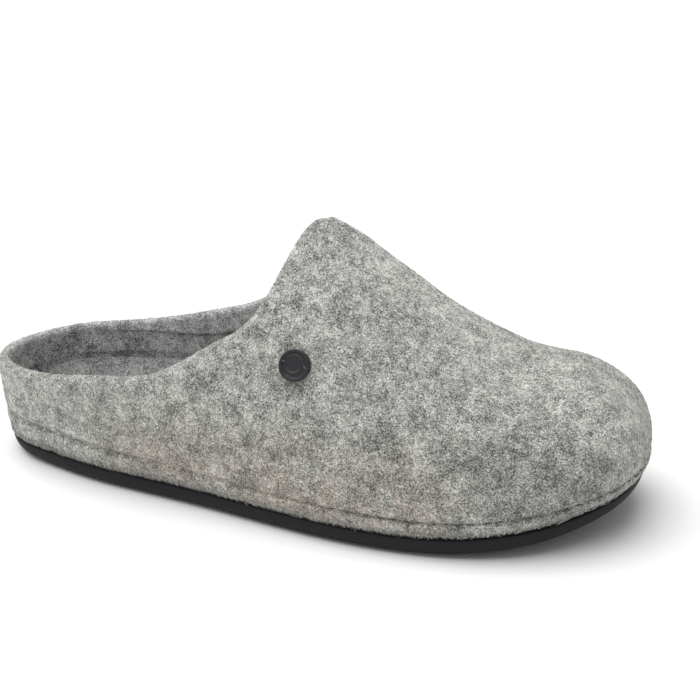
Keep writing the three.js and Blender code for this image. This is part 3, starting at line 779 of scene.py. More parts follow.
# Painted light and shade, as light from above falls: the ridge and the top of the toe lighter, the lower outer
# side towards the toe darker. Each an oval, its middle and half sizes in the shoe's own millimetres, and how
# far it shifts the tone. The shift is full up to a share of the way out.
PAINTED_LIGHT_ZONES = [
    ((222, -8, 62), (58, 42, 26), 0.06),
    ((178, 0, 90), (62, 28, 28), 0.2),
    ((200, -50, 38), (46, 26, 24), -0.09),
    ((244, -38, 34), (48, 30, 25), -0.18),
]
ZONE_CORE = 0.2
# How far the painted shade in the groove, along the footbed's edge and under the facing darkens the tone.
PAINTED_SHADE_TONE = 0.42
# Warmer wool, in patches of a size in millimetres. It fades in downwards between two heights and towards the
# middle of the shoe between two distances, both in metres, and each patch between two shares of its noise.
WARM_PATCH = 14.0
WARM_HEIGHTS = (0.055, 0.015)
WARM_DISTANCES = (0.095, 0.05)
WARM_SHARES = (0.25, 0.55)
NAP_SPACING = 0.6
# The depth of the two bumps is in metres.
NAP_BUMP = {"Strength": 0.5, "Distance": 0.0003}
STREAK_BUMP = {"Strength": 0.5, "Distance": 0.0004}
FELT_SURFACE = {
    "Roughness": 0.95,
    "Specular IOR Level": 0.2,
    "Sheen Weight": 0.35,
    "Sheen Roughness": 0.6,
    "Sheen Tint": linear("#f1f0ea"),
}


def felt_streaks(tree, place, turn):
    """Fine fibres that lie one way: noise stretched along one direction, about as long and wide as a
    fibre."""
    stretch = {"Vector": place, "Rotation": turn, "Scale": [size / 1000 for size in STREAK_SIZE]}
    turned = add_node(tree, "ShaderNodeMapping", stretch, vector_type="TEXTURE").outputs["Vector"]
    fibres = {"Vector": turned, "Scale": 1.0, "Detail": 1.0, "Roughness": 0.6, "Distortion": 1.0}
    return add_node(tree, "ShaderNodeTexNoise", fibres).outputs["Fac"]


def felt_material(name, stops, warm_colour=None):
    """The felt's tone adds up a melange of patches, specks, the strongest of its streaks, ovals of painted
    light and shade, and painted shade along the creases. A ramp turns it to colour."""
    material, tree, shader = new_material(name, FELT_SURFACE)
    place = add_node(tree, "ShaderNodeTexCoord", {}).outputs["Object"]
    patches = {
        "Vector": place,
        "Scale": 1000 / MELANGE_PATCH,
        "Detail": MELANGE_OCTAVES,
        "Roughness": MELANGE_ROUGHNESS,
        "Distortion": MELANGE_DISTORTION,
    }
    melange = add_node(tree, "ShaderNodeTexNoise", patches).outputs["Fac"]
    specks = {"Vector": place, "Scale": 1000 / SPECKLE_SIZE, "Detail": 0.0, "Roughness": 1.0}
    speckle = add_node(tree, "ShaderNodeTexNoise", specks).outputs["Fac"]
    streaks = [felt_streaks(tree, place, turn) for turn in STREAK_TURNS]
    pale = add_node(tree, "ShaderNodeMath", {0: streaks[0], 1: streaks[1]}, operation="MAXIMUM").outputs[0]
    dark = add_node(tree, "ShaderNodeMath", {0: streaks[2], 1: streaks[3]}, operation="MINIMUM").outputs[0]
    strongest = add_node(tree, "ShaderNodeMath", {0: pale, 1: dark}, operation="ADD").outputs[0]
    tone = TONE_START
    for part, gain in ((melange, MELANGE_GAIN), (speckle, SPECKLE_GAIN), (strongest, STREAK_GAIN)):
        weighed = {0: part, 1: gain, 2: tone}
        tone = add_node(tree, "ShaderNodeMath", weighed, operation="MULTIPLY_ADD").outputs[0]
    # Painted light and shade: ovals lighten the ridge and the top of the toe, and darken the lower outer side
    # near the toe.
    for middle, half_sizes, shift in PAINTED_LIGHT_ZONES:
        oval = {
            "Vector": place,
            "Location": to_frame(np.array(middle, float)).tolist(),
            "Scale": [size / 1000 for size in half_sizes],
        }
        inside_zone = add_node(tree, "ShaderNodeMapping", oval, vector_type="TEXTURE").outputs["Vector"]
        length = add_node(tree, "ShaderNodeVectorMath", {0: inside_zone}, operation="LENGTH")
        from_zone = length.outputs["Value"]
        fade = {"Value": from_zone, "From Min": ZONE_CORE, "From Max": 1.0, "To Min": shift, "To Max": 0.0}
        faded = add_node(tree, "ShaderNodeMapRange", fade, interpolation_type="SMOOTHSTEP").outputs["Result"]
        tone = add_node(tree, "ShaderNodeMath", {0: tone, 1: faded}, operation="ADD").outputs[0]
    # Painted shade: the tone darkens in the groove, along the footbed's edge, under the facing and round the
    # cover's edge.
    painted_shade = add_node(tree, "ShaderNodeAttribute", {}, attribute_name="painted_shade").outputs["Fac"]
    darkened = {0: painted_shade, 1: -PAINTED_SHADE_TONE, 2: tone}
    tone = add_node(tree, "ShaderNodeMath", darkened, operation="MULTIPLY_ADD").outputs[0]
    colour = add_node(tree, "ShaderNodeValToRGB", {"Fac": tone}, stops).outputs["Color"]
    if warm_colour:
        # A little warmer wool lies low on the middle of the sides, in soft patches.
        parts = add_node(tree, "ShaderNodeSeparateXYZ", {"Vector": place}).outputs
        from_middle = add_node(tree, "ShaderNodeMath", {0: parts["X"]}, operation="ABSOLUTE").outputs[0]
        warm = {"Vector": place, "Scale": 1000 / WARM_PATCH, "Detail": 3.0, "Roughness": 0.7}
        patch = add_node(tree, "ShaderNodeTexNoise", warm).outputs["Fac"]
        strength = 1.0
        fades = ((parts["Z"], WARM_HEIGHTS), (from_middle, WARM_DISTANCES), (patch, WARM_SHARES))
        for value, (start, end) in fades:
            fade = {"Value": value, "From Min": start, "From Max": end, "To Min": 0.0, "To Max": 1.0}
            faded = add_node(tree, "ShaderNodeMapRange", fade, interpolation_type="SMOOTHSTEP")
            both = {0: strength, 1: faded.outputs["Result"]}
            strength = add_node(tree, "ShaderNodeMath", both, operation="MULTIPLY").outputs[0]
        mixed = {0: strength, 6: colour, 7: linear(warm_colour)}
        colour = add_node(tree, "ShaderNodeMix", mixed, data_type="RGBA", blend_type="MULTIPLY").outputs[2]
    nap = {"Vector": place, "Scale": 1000 / NAP_SPACING, "Detail": 2.0, "Roughness": 0.7}
    nap_height = add_node(tree, "ShaderNodeTexNoise", nap).outputs["Fac"]
    nap_normal = add_node(tree, "ShaderNodeBump", {"Height": nap_height} | NAP_BUMP).outputs["Normal"]
    streak_bump = add_node(tree, "ShaderNodeBump", {"Height": strongest, "Normal": nap_normal} | STREAK_BUMP)
    tree.links.new(colour, shader.inputs["Base Color"])
    tree.links.new(streak_bump.outputs["Normal"], shader.inputs["Normal"])
    return material


grey_felt = felt_material(
    "fulled_wool_felt_grey",
    [(0.0, "#535552"), (0.25, "#858681"), (0.5, "#a8a9a4"), (0.75, "#c5c6c0"), (1.0, "#e1e2dc")],
    "#f7eae4",
)
# The inner face and the inner half of the rim take a lighter copy of the outer felt: painted light against the
# shade inside the shell.
lightened_lining_felt = felt_material(
    "fulled_wool_felt_lightened_lining",
    [(0.0, "#5c5d61"), (0.25, "#8f9093"), (0.5, "#b6b6b7"), (0.75, "#d2d2d0"), (1.0, "#e8e7e3")],
)
bed_felt = felt_material(
    "fulled_wool_felt_footbed",
    [(0.0, "#3e3f41"), (0.25, "#656668"), (0.5, "#828282"), (0.75, "#9c9c9a"), (1.0, "#b7b6b3")],
)
shell = add_piece("upper_felt", shell_mesh, [grey_felt, lightened_lining_felt], "upper")

# Loose fibres of the felt's outer face.
# Each real piece is one fine wool fibre, pale or dark, that lies on the face and dives back into it. Each is
# modelled thicker than life, as a closed spindle of three sides that arches and bends a little.
NAP_PIECES = 3
NAP_FIBRES = 15000
FIBRE_SPINE = np.array([0.0, 0.34, 0.66, 1.0])
FIBRE_SIDES = 3
FIBRE_SINK = 0.03
FIBRE_BOW = 0.22
FIBRE_STRAY = 0.5
FIBRE_THICKNESS = (0.7, 1.3)
# The spindle's points: its first tip, two rings of three, and its last tip.
SPINDLE_POINTS = 2 + 2 * FIBRE_SIDES
SPINDLE_TIPS = np.array([(0, 2, 1), (0, 3, 2), (0, 1, 3), (4, 5, 7), (5, 6, 7), (6, 4, 7)])
SPINDLE_SIDES = np.array([(1, 2, 5, 4), (2, 3, 6, 5), (3, 1, 4, 6)])


def scatter(grid, count, numbers, kept=1.0):
    """Random places on a ring of columns, even by area, with the outward direction there. A place is a blend
    of its face's four corners, and the direction is square to two of the face's edges. kept is 0 where a
    column has none."""
    following = np.roll(grid, -1, axis=1)
    ahead = (following - grid)[:-1]
    up = grid[1:] - grid[:-1]
    outward = np.cross(ahead, up)
    area = np.linalg.norm(outward, axis=-1) * kept
    cell = numbers.choice(area.size, count, p=(area / area.sum()).ravel())
    row, column = np.unravel_index(cell, area.shape)
    share_up = numbers.uniform(size=(count, 1))
    share_ahead = numbers.uniform(size=(count, 1))
    near = mix(grid[row, column], grid[row + 1, column], share_up)
    far = mix(following[row, column], following[row + 1, column], share_up)
    return mix(near, far, share_ahead), unit(outward[row, column])


def fibre_spindles(name, roots, outward, numbers, lengths, radius, arch, rise, lean=None):
    """Fibres as one mesh. Each spine runs through its root: a straight step, plus a sideways bow and an arch
    that are both parabolas, plus a rise that grows as the square. lean, where given, sets the way each fibre
    points."""
    count = len(roots)
    way = numbers.normal(size=(count, 3))
    if lean is not None:
        way = lean + FIBRE_STRAY * way
    ahead = unit(way - outward * (way * outward).sum(-1, keepdims=True))
    aside = np.cross(outward, ahead)
    length = numbers.uniform(*lengths, (count, 1, 1))
    bow = numbers.uniform(-FIBRE_BOW, FIBRE_BOW, (count, 1, 1))
    arched = numbers.uniform(*arch, (count, 1, 1))
    risen = numbers.uniform(*rise, (count, 1, 1))
    spine = FIBRE_SPINE[None, :, None]
    parabola = 4 * spine * (1 - spine)
    height = arched * parabola - FIBRE_SINK + risen * length * spine**2
    line = roots[:, None] + length * ((spine - 0.5) * ahead[:, None] + bow * parabola * aside[:, None])
    line = line + height * outward[:, None]
    turn = (2 * np.pi * np.arange(FIBRE_SIDES) / FIBRE_SIDES)[None, :, None]
    around = np.cos(turn) * outward[:, None] + np.sin(turn) * aside[:, None]
    around = around * radius * numbers.uniform(*FIBRE_THICKNESS, (count, 1, 1))
    points = np.concatenate([line[:, :1], line[:, 1:2] + around, line[:, 2:3] + around, line[:, 3:]], axis=1)
    starts = SPINDLE_POINTS * np.arange(count)[:, None, None]
    faces = (SPINDLE_TIPS + starts).reshape(-1, 3).tolist() + (SPINDLE_SIDES + starts).reshape(-1, 4).tolist()
    mesh = bpy.data.meshes.new(name)
    mesh.from_pydata(to_frame(points.reshape(-1, 3)).tolist(), [], faces)
    tones = np.repeat(numbers.uniform(size=count), SPINDLE_POINTS).astype(np.float32)
    mesh.attributes.new("tone", "FLOAT", "POINT").data.foreach_set("value", tones)
    return mesh


def add_fibres(name, grid, count, numbers, material, *shape, kept=1.0):
    """A piece of fibres scattered over a grid. shape goes on to fibre_spindles: lengths, radius, arch, rise,
    lean."""
    roots, outward = scatter(grid, count, numbers, kept)
    add_piece(name, fibre_spindles(name, roots, outward, numbers, *shape), [material])


# Wool fibre, undyed and dyed grey in one blend: matt, each fibre of one tone, and more pale ones than dark.
FIBRE_SURFACE = {"Roughness": 0.9, "Specular IOR Level": 0.2}


def fibre_material(name, stops):
    """Each fibre takes its colour from its own tone."""
    material, tree, shader = new_material(name, FIBRE_SURFACE)
    tone = add_node(tree, "ShaderNodeAttribute", {}, attribute_name="tone").outputs["Fac"]
    colour = add_node(tree, "ShaderNodeValToRGB", {"Fac": tone}, stops).outputs["Color"]
    tree.links.new(colour, shader.inputs["Base Color"])
    return material


outer_fibre = fibre_material(
    "wool_fibre_grey", [(0.0, "#5a5a57"), (0.3, "#8a8985"), (0.6, "#c0bfb9"), (1.0, "#ebe9e3")]
)
NAP_SEED = 101
LYING_ARCH = (0.02, 0.2)
LYING_RISE = (-0.02, 0.12)
for piece_number in range(NAP_PIECES):
    nap_numbers = np.random.default_rng(NAP_SEED + piece_number)
    nap_shape = ((1.2, 3.4), 0.047, LYING_ARCH, LYING_RISE)
    add_fibres(f"outer_nap_{piece_number + 1}", outer_rows, NAP_FIBRES, nap_numbers, outer_fibre, *nap_shape)

# Loose fibres along the felt's edges.
# The real fibres stand out of the cut foot over the rubber and round the rim of the collar, and a few hang
# from the foot as long hairs.
DOWN = np.array([[0, 0, -1.0]])
EDGE_SEED = 211
FOOT_FIBRES = 5500
FOOT_ROWS = 4
RIM_FIBRES = 3500
LOOSE_HAIRS = 90
HAIR_ROWS = 3
fibre_numbers = np.random.default_rng(EDGE_SEED)
foot_shape = ((1.4, 3.6), 0.06, (0.2, 0.7), (0.0, 0.25), 1.5 * DOWN)
add_fibres("foot_fibres", outer_rows[:FOOT_ROWS], FOOT_FIBRES, fibre_numbers, outer_fibre, *foot_shape)
hair_shape = ((3.5, 7.0), 0.05, (0.2, 0.9), (0.05, 0.2), 0.7 * DOWN)
add_fibres("loose_hairs", outer_rows[:HAIR_ROWS], LOOSE_HAIRS, fibre_numbers, outer_fibre, *hair_shape)
rim_shape = ((1.0, 2.8), 0.05, LYING_ARCH, (0.0, 0.35))
add_fibres("rim_fibres", rim_rows, RIM_FIBRES, fibre_numbers, outer_fibre, *rim_shape)

# Loose fibres of the lining.
# Their tones run darker than the outer face's. They are left out in the toe, where nothing is seen.
LINING_FIBRES = 5000
LINING_REACH = 0.62
lining_fibre = fibre_material(
    "wool_fibre_lining", [(0.0, "#414244"), (0.3, "#6d6e6f"), (0.6, "#a3a3a1"), (1.0, "#d3d2ce")]
)
lining_shape = ((1.2, 3.4), 0.055, LYING_ARCH, LYING_RISE)
add_fibres(
    "lining_fibres",
    inner_rows[:-BED_ROWS_BELOW],
    LINING_FIBRES,
    fibre_numbers,
    lining_fibre,
    *lining_shape,
    kept=column_station < LINING_REACH,
)

# Stitches.
# The real thread is grey polyester, sewn by machine through the felt's foot. It lies sunk in the groove, and
# towards the heel the felt has closed over it.
STITCH_PITCH = 5.0
STITCH_LENGTH = 2.7
THREAD_RADIUS = 0.26
STITCH_SINK = 0.5
STITCH_RISING_START = 120.0
STITCH_RISING_LENGTH = 60.0
STITCH_PULL = 20
groove_closed = np.concatenate([groove_line, groove_line[:1]])
normals_closed = np.concatenate([groove_normals, groove_normals[:1]])
groove_run = np.concatenate([[0], np.cumsum(np.linalg.norm(np.diff(groove_closed, axis=0), axis=-1))])


def along_groove(run, values):
    """The values round the closed groove, read at distances along it."""
    return np.stack([np.interp(run, groove_run, values[:, axis]) for axis in range(3)], -1)


stitch_run = np.arange(0, groove_run[-1] - STITCH_PITCH / 2, STITCH_PITCH)
stitch_roots = along_groove(stitch_run, groove_closed)
stitch_ahead = along_groove(stitch_run + 1, groove_closed)
stitch_outward = unit(along_groove(stitch_run, normals_closed))
sunk = STITCH_SINK * (1 - smooth((stitch_roots[:, 0] - STITCH_RISING_START) / STITCH_RISING_LENGTH))
stitch_roots = stitch_roots - stitch_outward * sunk[:, None]
stitch_mesh = fibre_spindles(
    "stitches",
    stitch_roots,
    stitch_outward,
    fibre_numbers,
    (STITCH_LENGTH, STITCH_LENGTH),
    THREAD_RADIUS,
    (0.15, 0.25),
    (0.0, 0.0),
    STITCH_PULL * (stitch_ahead - stitch_roots),
)
# Polyester sewing thread, dark grey and matt.
dark_thread = fibre_material("grey_sewing_thread", [(0.0, "#3f403f"), (1.0, "#5b5b59")])
add_piece("stitches", stitch_mesh, [dark_thread])

# Footbed.
# The real piece is a moulded cork or foam insole under a sheet of the same felt, with a heel cup and an arch.
# It lies loose inside the shell, so only a dark line shows where the two meet.
BED_LINES = 44
CUP_POWER = 2.4
EDGE_INSET = 1.0
EDGE_ROLL = 2.0
EDGE_POWER = 16
# The side's rows, as shares of its height, and how much of the edge's inset each has.
BED_SIDE_ROWS = np.array([0, 0.5, 1])
BED_SIDE_INSETS = np.array([0, 0.3, 1])
rolled_edge_across = across_at_height(column_station, column_side, bed_edge - EDGE_ROLL)
bed_rows_across = rolled_edge_across[None] * BED_SIDE_ROWS[:, None]
bed_rings = inside_point(bed_rows_across, FIT_GAP + EDGE_INSET * BED_SIDE_INSETS[:, None])
bed_builder = MeshBuilder()
bed_numbers = [bed_builder.ring(row) for row in bed_rings]
bed_builder.stitch(bed_numbers[0], bed_numbers[1])
bed_builder.stitch(bed_numbers[1], bed_numbers[2])


def cap(builder, ring, points, shares, height_at, facing_up):
    """Closes a ring of columns by rows from the outer to the inner side. Each row lies at its share of the
    way across, at the height that height_at gives for its points and share."""
    half_way = len(ring) // 2
    across = -np.arange(half_way + 1) % len(ring)
    lines = [ring[: half_way + 1]]
    for share in shares:
        line = mix(points[: half_way + 1], points[across], share)
        line[:, 2] = height_at(line, share)
        numbers = builder.ring(line)
        numbers[0] = ring[0]
        numbers[-1] = ring[half_way]
        lines.append(numbers)
    lines.append(ring[across])
    for lower, upper in zip(lines, lines[1:]):
        if facing_up:
            builder.stitch(lower, upper, closed=False)
        else:
            builder.stitch(upper, lower, closed=False)


def bed_top(line, share):
    """The footbed's top: its middle height, rising to the edges as a power of the distance from the middle,
    and rolled down just at the edge as a much higher power."""
    first = bed_rings[2][: last_station + 1, 2]
    second = bed_rings[2][(-np.arange(last_station + 1)) % len(column_index), 2]
    middle = felt_foot(line[:, 0]) + bed_height(bed_curve["middle"](stations))
    from_middle = abs(2 * share - 1)
    edge = mix(first, second, share) + EDGE_ROLL
    return mix(middle, edge, from_middle**CUP_POWER) - EDGE_ROLL * from_middle**EDGE_POWER


cap(bed_builder, bed_numbers[2], bed_rings[2], np.arange(1, BED_LINES) / BED_LINES, bed_top, True)
cap(bed_builder, bed_numbers[0], bed_rings[0], [0.5], lambda line, share: felt_foot(line[:, 0]), False)
# Painted shade along the cover's edge, where it meets the shell's wall.
COVER_SHADE_WIDTH = 0.7
COVER_SHADE_STRENGTH = 0.6
bed_mesh = bed_builder.mesh("footbed_cover", to_frame)
cover_shade_strength = np.full(len(column_index), COVER_SHADE_STRENGTH)
mark_painted_shade(bed_mesh, [(bed_rings[2], COVER_SHADE_WIDTH, cover_shade_strength)])
footbed = add_piece("footbed_cover", bed_mesh, [bed_felt], "footbed")
BED_FIBRES = 3500
BED_MARGIN = 0.02
bed_shares = np.linspace(BED_MARGIN, 1 - BED_MARGIN, BED_LINES)
half_ring = len(column_index) // 2
bed_first = bed_rings[2][: half_ring + 1]
bed_second = bed_rings[2][-np.arange(half_ring + 1) % len(column_index)]
bed_grid = np.stack([mix(bed_first, bed_second, share) for share in bed_shares])
for bed_row, share in zip(bed_grid, bed_shares):
    bed_row[:, 2] = bed_top(bed_row, share)
bed_kept = (np.arange(half_ring + 1) < half_ring) & (column_station[: half_ring + 1] < LINING_REACH)
add_fibres(
    "footbed_fibres", bed_grid, BED_FIBRES, fibre_numbers, lining_fibre, *lining_shape, kept=bed_kept
)

# Outsole.
# The real piece is a thin moulded sheet of black rubber, cemented under the felt. The upper strip of its side
# stands back, its lower edge rounds in, more so at heel and toe, and shallow grooves cross it under the heel
# and the ball.
SOLE_EDGE_RADIUS = 6.0
END_EDGE_RADIUS = 7.5
END_EDGE_LENGTH = 40.0
TOP_EDGE_RADIUS = 0.5
# The side's upper strip stands back under the felt: heights above the sole's foot, and how far each is drawn
# in.
SIDE_STEP = [(7.65, 0.03), (7.8, 0.15), (7.9, 1.1), (8.6, 1.2)]
EDGE_STEPS = 10
TREAD_DEPTH = 1.2
TREAD_WIDTH = 3.0
TREAD_PITCH = 11.0
TREAD_MARGIN = 9.0
HEEL_TREAD_START = 20.0
HEEL_TREAD_LENGTH = 50.0
BALL_TREAD_SETBACK = 20.0
BALL_TREAD_LENGTH = 100.0
TREAD_WALL = 0.1
SOLE_COLUMNS = 150
UNDER_LINES = 12
END_WALL_SHARE = 0.006


def groove_places(start, length):
    """Where the grooves of one zone lie along the sole, evenly spaced at about the pitch."""
    count = max(1, round(length / TREAD_PITCH))
    return start + length * np.arange(count + 1) / count


grooves = np.concatenate([
    groove_places(HEEL_TREAD_START, HEEL_TREAD_LENGTH),
    groove_places(SOLE_LENGTH - BALL_TREAD_SETBACK - BALL_TREAD_LENGTH, BALL_TREAD_LENGTH),
])


def inset_place(station, side, inset):
    """A point of the outline in plan, drawn in square to it."""
    inset = np.broadcast_to(inset, np.shape(station))
    return outline_point(station, side) - outline_normal(station, side) * inset[..., None]


# The sole's columns cross it at even places and at both edges of each groove. Each side has its own stations
# there, taken where the outline drawn in by the tread's margin reaches the place.
even_shares = (1 - np.cos(np.pi * np.linspace(0, 1, SOLE_COLUMNS))) / 2
even_places = TREAD_MARGIN + (SOLE_LENGTH - 2 * TREAD_MARGIN) * even_shares
half_groove = TREAD_WIDTH / 2
groove_edges = np.array([-half_groove, -half_groove + TREAD_WALL, half_groove - TREAD_WALL, half_groove])
sole_places = np.sort(np.concatenate([even_places, (grooves[:, None] + groove_edges).ravel()]))
DENSE_STATIONS = 4000
dense_stations = np.linspace(0, 1, DENSE_STATIONS)
sole_station = np.concatenate([
    np.interp(sole_places, inset_place(dense_stations, LATERAL, TREAD_MARGIN)[:, 0], dense_stations),
    np.interp(sole_places, inset_place(dense_stations, MEDIAL, TREAD_MARGIN)[:, 0], dense_stations)[-2:0:-1],
])
sole_side = np.where(np.arange(len(sole_station)) < len(sole_places), LATERAL, MEDIAL)
from_end = np.minimum(along_at(sole_station), SOLE_LENGTH - along_at(sole_station))
edge_radius = mix(END_EDGE_RADIUS, SOLE_EDGE_RADIUS, smooth(from_end / END_EDGE_LENGTH))
sole_rings = []
for turn in np.pi / 2 * np.arange(EDGE_STEPS + 1) / EDGE_STEPS:
    place = inset_place(sole_station, sole_side, edge_radius * (1 - np.sin(turn)))
    sole_rings.append(np.column_stack([place, edge_radius * (1 - np.cos(turn)) + spring_at(place[:, 0])]))
for height, inset in SIDE_STEP + [(SOLE_THICKNESS, TOP_EDGE_RADIUS + SIDE_STEP[-1][1])]:
    place = inset_place(sole_station, sole_side, inset)
    sole_rings.append(np.column_stack([place, height + spring_at(place[:, 0])]))
tread_place = inset_place(sole_station, sole_side, TREAD_MARGIN)
tread_ring = np.column_stack([tread_place, spring_at(tread_place[:, 0])])


def under_height(line, share):
    """The underside: the ground line, cut by the grooves' depth between their side and end walls."""
    in_groove = np.abs(line[:, :1] - grooves).min(1) < (TREAD_WIDTH - TREAD_WALL) / 2
    return spring_at(line[:, 0]) + TREAD_DEPTH * in_groove


sole_builder = MeshBuilder()
under_numbers = sole_builder.ring(tread_ring)
sole_numbers = [under_numbers] + [sole_builder.ring(row) for row in sole_rings]
for lower, upper in zip(sole_numbers, sole_numbers[1:]):
    sole_builder.stitch(lower, upper)


def sole_top(line, share):
    """The rubber's flat top, which follows the ground line up at the toe."""
    return SOLE_THICKNESS + spring_at(line[:, 0])


cap(sole_builder, sole_numbers[-1], sole_rings[-1], [0.5], sole_top, True)
line_shares = np.arange(1, UNDER_LINES) / UNDER_LINES
under_shares = np.concatenate([[END_WALL_SHARE], line_shares, [1 - END_WALL_SHARE]])
cap(sole_builder, under_numbers, tread_ring, under_shares, under_height, False)
sole_mesh = sole_builder.mesh("outsole_rubber", to_frame)

# Black rubber, moulded and matt: a broad soft gleam and a very fine grain.
RUBBER_GRAIN = 0.6
RUBBER_DUST = 18.0
black_rubber, tree, shader = new_material("moulded_black_rubber", {"Specular IOR Level": 0.25})
place = add_node(tree, "ShaderNodeTexCoord", {}).outputs["Object"]
fine = {"Vector": place, "Scale": 1000 / RUBBER_GRAIN, "Detail": 2.0, "Roughness": 0.6}
grain = add_node(tree, "ShaderNodeTexNoise", fine).outputs["Fac"]
broad = {"Vector": place, "Scale": 1000 / RUBBER_DUST, "Detail": 4.0, "Roughness": 0.7}
dust = add_node(tree, "ShaderNodeTexNoise", broad).outputs["Fac"]
colour = add_node(tree, "ShaderNodeValToRGB", {"Fac": dust}, [(0.3, "#17181a"), (0.75, "#202123")])
gleam = {"Value": dust, "From Min": 0.3, "From Max": 0.7, "To Min": 0.6, "To Max": 0.75}
roughness = add_node(tree, "ShaderNodeMapRange", gleam)
bump = add_node(tree, "ShaderNodeBump", {"Height": grain, "Strength": 0.25, "Distance": 0.0001})
tree.links.new(colour.outputs["Color"], shader.inputs["Base Color"])
tree.links.new(roughness.outputs["Result"], shader.inputs["Roughness"])
tree.links.new(bump.outputs["Normal"], shader.inputs["Normal"])
outsole = add_piece("outsole_rubber", sole_mesh, [black_rubber], "outsole")

# Button.
# The real piece is a small moulded cap of black plastic with a raised rim, riveted through the felt by its
# post. Its face has a shallow ring set a little off centre, and is otherwise bare.
BUTTON_HEIGHT = 2.8
BUTTON_RIM_WIDTH = 1.3
BUTTON_RECESS = 0.6
POST_DIAMETER = 4.0
BUTTON_SIDES = 96
BUTTON_BEVEL = 0.5
BEVEL_POINTS = 7
FACE_SHARES = np.linspace(0.97, 0.03, 24)
radius = BUTTON_DIAMETER / 2
bevel = BUTTON_BEVEL
recess_radius = radius - BUTTON_RIM_WIDTH
face = BUTTON_HEIGHT - BUTTON_RECESS
corner = np.linspace(0, np.pi / 2, BEVEL_POINTS)
under_edge = [(radius - bevel + bevel * np.sin(a), FIT_GAP + bevel - bevel * np.cos(a)) for a in corner]
over_edge = [(radius - bevel + bevel * np.cos(a), BUTTON_HEIGHT - bevel + bevel * np.sin(a)) for a in corner]
into_face = [
    (recess_radius + bevel * (0.5 - share), mix(BUTTON_HEIGHT, face, smooth(share)))
    for share in np.linspace(0, 1, BEVEL_POINTS)
]
button_profile = np.array(
    [(0, -FELT_WALL), (POST_DIAMETER / 2, -FELT_WALL), (POST_DIAMETER / 2, FIT_GAP)]
    + under_edge
    + over_edge
    + into_face
    + [(share * (recess_radius - bevel), face) for share in FACE_SHARES]
)
RING_RADIUS = 3.5
RING_WIDTH = 0.7
RING_HEIGHT = 0.22
RING_SHIFT = (-0.35, 0.45)
turn = 2 * np.pi * np.arange(BUTTON_SIDES) / BUTTON_SIDES
button_right = unit(np.cross((0, 0, 1), button_normal))
button_up = np.cross(button_normal, button_right)


def button_point_at(across, up):
    """A ring of the button: a circle of radius across at height up over the felt, with the low ring on its
    face."""
    right_way = across * np.cos(turn)
    up_way = across * np.sin(turn)
    from_ring = np.hypot(right_way - RING_SHIFT[0], up_way - RING_SHIFT[1]) - RING_RADIUS
    on_face = np.isclose(up, face)
    lift = up + on_face * RING_HEIGHT * np.exp(-((from_ring / (RING_WIDTH / 2)) ** 2))
    flat = button_point + right_way[:, None] * button_right + up_way[:, None] * button_up
    return flat + lift[:, None] * button_normal


button_builder = MeshBuilder()
button_numbers = []
for across, up in button_profile:
    keys = np.zeros(BUTTON_SIDES, int) if across == 0 else None
    button_numbers.append(button_builder.ring(button_point_at(across, up), keys))
centre_ring = button_builder.ring(button_point_at(0, face), np.zeros(BUTTON_SIDES, int))
for lower, upper in zip(button_numbers, button_numbers[1:] + [centre_ring]):
    button_builder.stitch(lower, upper)
button_mesh = button_builder.mesh("button_cap", to_frame)

# Black nylon, moulded with a satin face: a soft highlight and a fine eroded grain.
NYLON_GRAIN = 0.25
black_nylon, tree, shader = new_material("moulded_black_nylon", {"Roughness": 0.48, "IOR": 1.5})
place = add_node(tree, "ShaderNodeTexCoord", {}).outputs["Object"]
fine = {"Vector": place, "Scale": 1000 / NYLON_GRAIN, "Detail": 2.0, "Roughness": 0.5}
grain = add_node(tree, "ShaderNodeTexNoise", fine).outputs["Fac"]
colour = add_node(tree, "ShaderNodeValToRGB", {"Fac": grain}, [(0.3, "#1a1b1d"), (0.7, "#212326")])
bump = add_node(tree, "ShaderNodeBump", {"Height": grain, "Strength": 0.2, "Distance": 0.00005})
tree.links.new(colour.outputs["Color"], shader.inputs["Base Color"])
tree.links.new(bump.outputs["Normal"], shader.inputs["Normal"])
button = add_piece("button_cap", button_mesh, [black_nylon], "button")
# A few loose fibres of the felt lie across the cap.
BUTTON_HAIRS = 9
HAIR_RING_SHARE = 0.75
HAIR_LIFT = 0.1
hair_ring = button_point_at(HAIR_RING_SHARE * radius, BUTTON_HEIGHT + HAIR_LIFT)
hair_roots = hair_ring[fibre_numbers.integers(0, BUTTON_SIDES, BUTTON_HAIRS)]
hair_outward = np.broadcast_to(button_normal, hair_roots.shape)
hair_shape = ((2.0, 4.5), 0.026, (0.0, 0.3), (0.0, 0.1))
hair_mesh = fibre_spindles("button_hairs", hair_roots, hair_outward, fibre_numbers, *hair_shape)
add_piece("button_hairs", hair_mesh, [outer_fibre])

# Studio: a pale floor, a bright even room and one wide soft light overhead.
FLOOR_SIZE = 12.0
floor_mesh = bpy.data.meshes.new("floor")
half = FLOOR_SIZE / 2
floor_corners = [(-half, -half, 0), (half, -half, 0), (half, half, 0), (-half, half, 0)]
floor_mesh.from_pydata(floor_corners, [], [(0, 1, 2, 3)])
floor = bpy.data.objects.new("floor", floor_mesh)
bpy.context.scene.collection.objects.link(floor)
paper_surface = {"Base Color": linear("#f7f7f7"), "Roughness": 0.9}
floor_mesh.materials.append(new_material("pale_studio_paper", paper_surface)[0])

ROOM_BRIGHTNESS = 0.38
world = bpy.data.worlds.new("studio")
world.use_nodes = True
world.node_tree.nodes["Background"].inputs["Color"].default_value = linear("#ffffff")
world.node_tree.nodes["Background"].inputs["Strength"].default_value = ROOM_BRIGHTNESS
bpy.context.scene.world = world

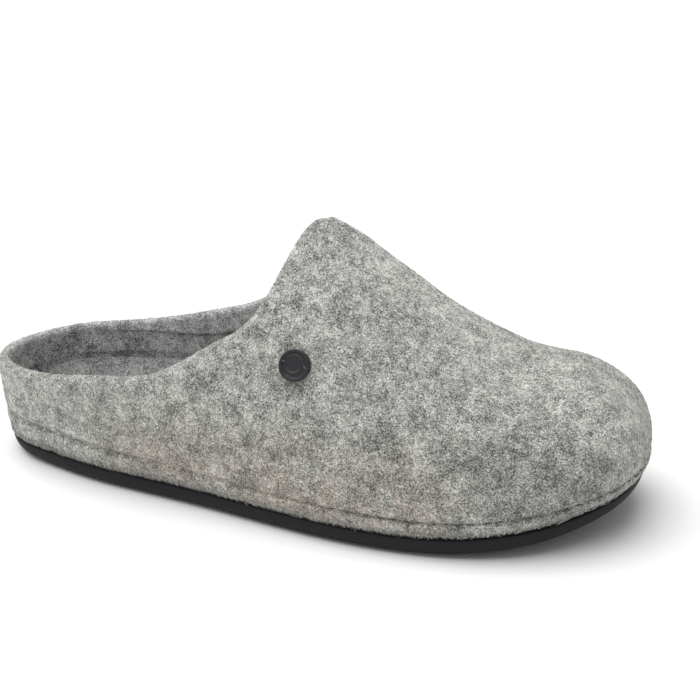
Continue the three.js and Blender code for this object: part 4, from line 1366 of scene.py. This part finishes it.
# The light stands at a place in metres and is turned to the shoe. Its power is in watts.
SOFTBOX_PLACE = (-2.5, 0.0, 7.6)
SOFTBOX_SIZE = 10.0
SOFTBOX_POWER = 935.0
lamp = bpy.data.lights.new("overhead_softbox", "AREA")
lamp.size = SOFTBOX_SIZE
lamp.energy = SOFTBOX_POWER
softbox = bpy.data.objects.new("overhead_softbox", lamp)
softbox.location = SOFTBOX_PLACE
softbox.rotation_mode = "QUATERNION"
softbox.rotation_quaternion = (-Vector(SOFTBOX_PLACE)).to_track_quat("-Z", "Y")
bpy.context.scene.collection.objects.link(softbox)

# Camera: set from the shoe's own outline in the photograph. Its target is the middle of the sole, 40 mm up.
AZIMUTH = 19.025
ELEVATION = 23.618
ROLL = 0.881
DISTANCE = 499.16
FOCAL_PIXELS = 1190.5
FRAME_PIXELS = 700.0
TARGET_PIXEL = (305.09, 385.21)
TARGET = (137.0, 0.0, 40.0)
azimuth, elevation, roll = np.radians([AZIMUTH, ELEVATION, ROLL])
level_share = np.cos(elevation)
back = np.array([np.sin(azimuth) * level_share, -np.cos(azimuth) * level_share, np.sin(elevation)])
right = unit(np.cross(-back, (0, 0, 1)))
up = np.cross(right, -back)
aim_right = (TARGET_PIXEL[0] - FRAME_PIXELS / 2) / FOCAL_PIXELS
aim_up = (FRAME_PIXELS / 2 - TARGET_PIXEL[1]) / FOCAL_PIXELS
yaw = np.arctan(aim_right)
pitch = np.arctan(aim_up * np.cos(yaw))
turned_right = np.cos(yaw) * right - np.sin(yaw) * back
level = -np.sin(yaw) * right - np.cos(yaw) * back
turned_up = np.cos(pitch) * up + np.sin(pitch) * level
looking = np.cos(pitch) * level - np.sin(pitch) * up
image_right = np.cos(roll) * turned_right - np.sin(roll) * turned_up
image_up = np.sin(roll) * turned_right + np.cos(roll) * turned_up
lens = bpy.data.cameras.new("camera")
lens.sensor_width = 36.0
lens.lens = FOCAL_PIXELS * lens.sensor_width / FRAME_PIXELS
lens.clip_start = 0.01
lens.clip_end = 100.0
camera = bpy.data.objects.new("camera", lens)
eye = to_frame(np.array(TARGET) + back * DISTANCE)
axes = np.column_stack([image_right, image_up, -looking])
camera.matrix_world = Matrix.Translation(eye.tolist()) @ Matrix(axes.tolist()).to_4x4()
bpy.context.scene.collection.objects.link(camera)
bpy.context.scene.camera = camera
bpy.context.scene.view_settings.view_transform = "Standard"
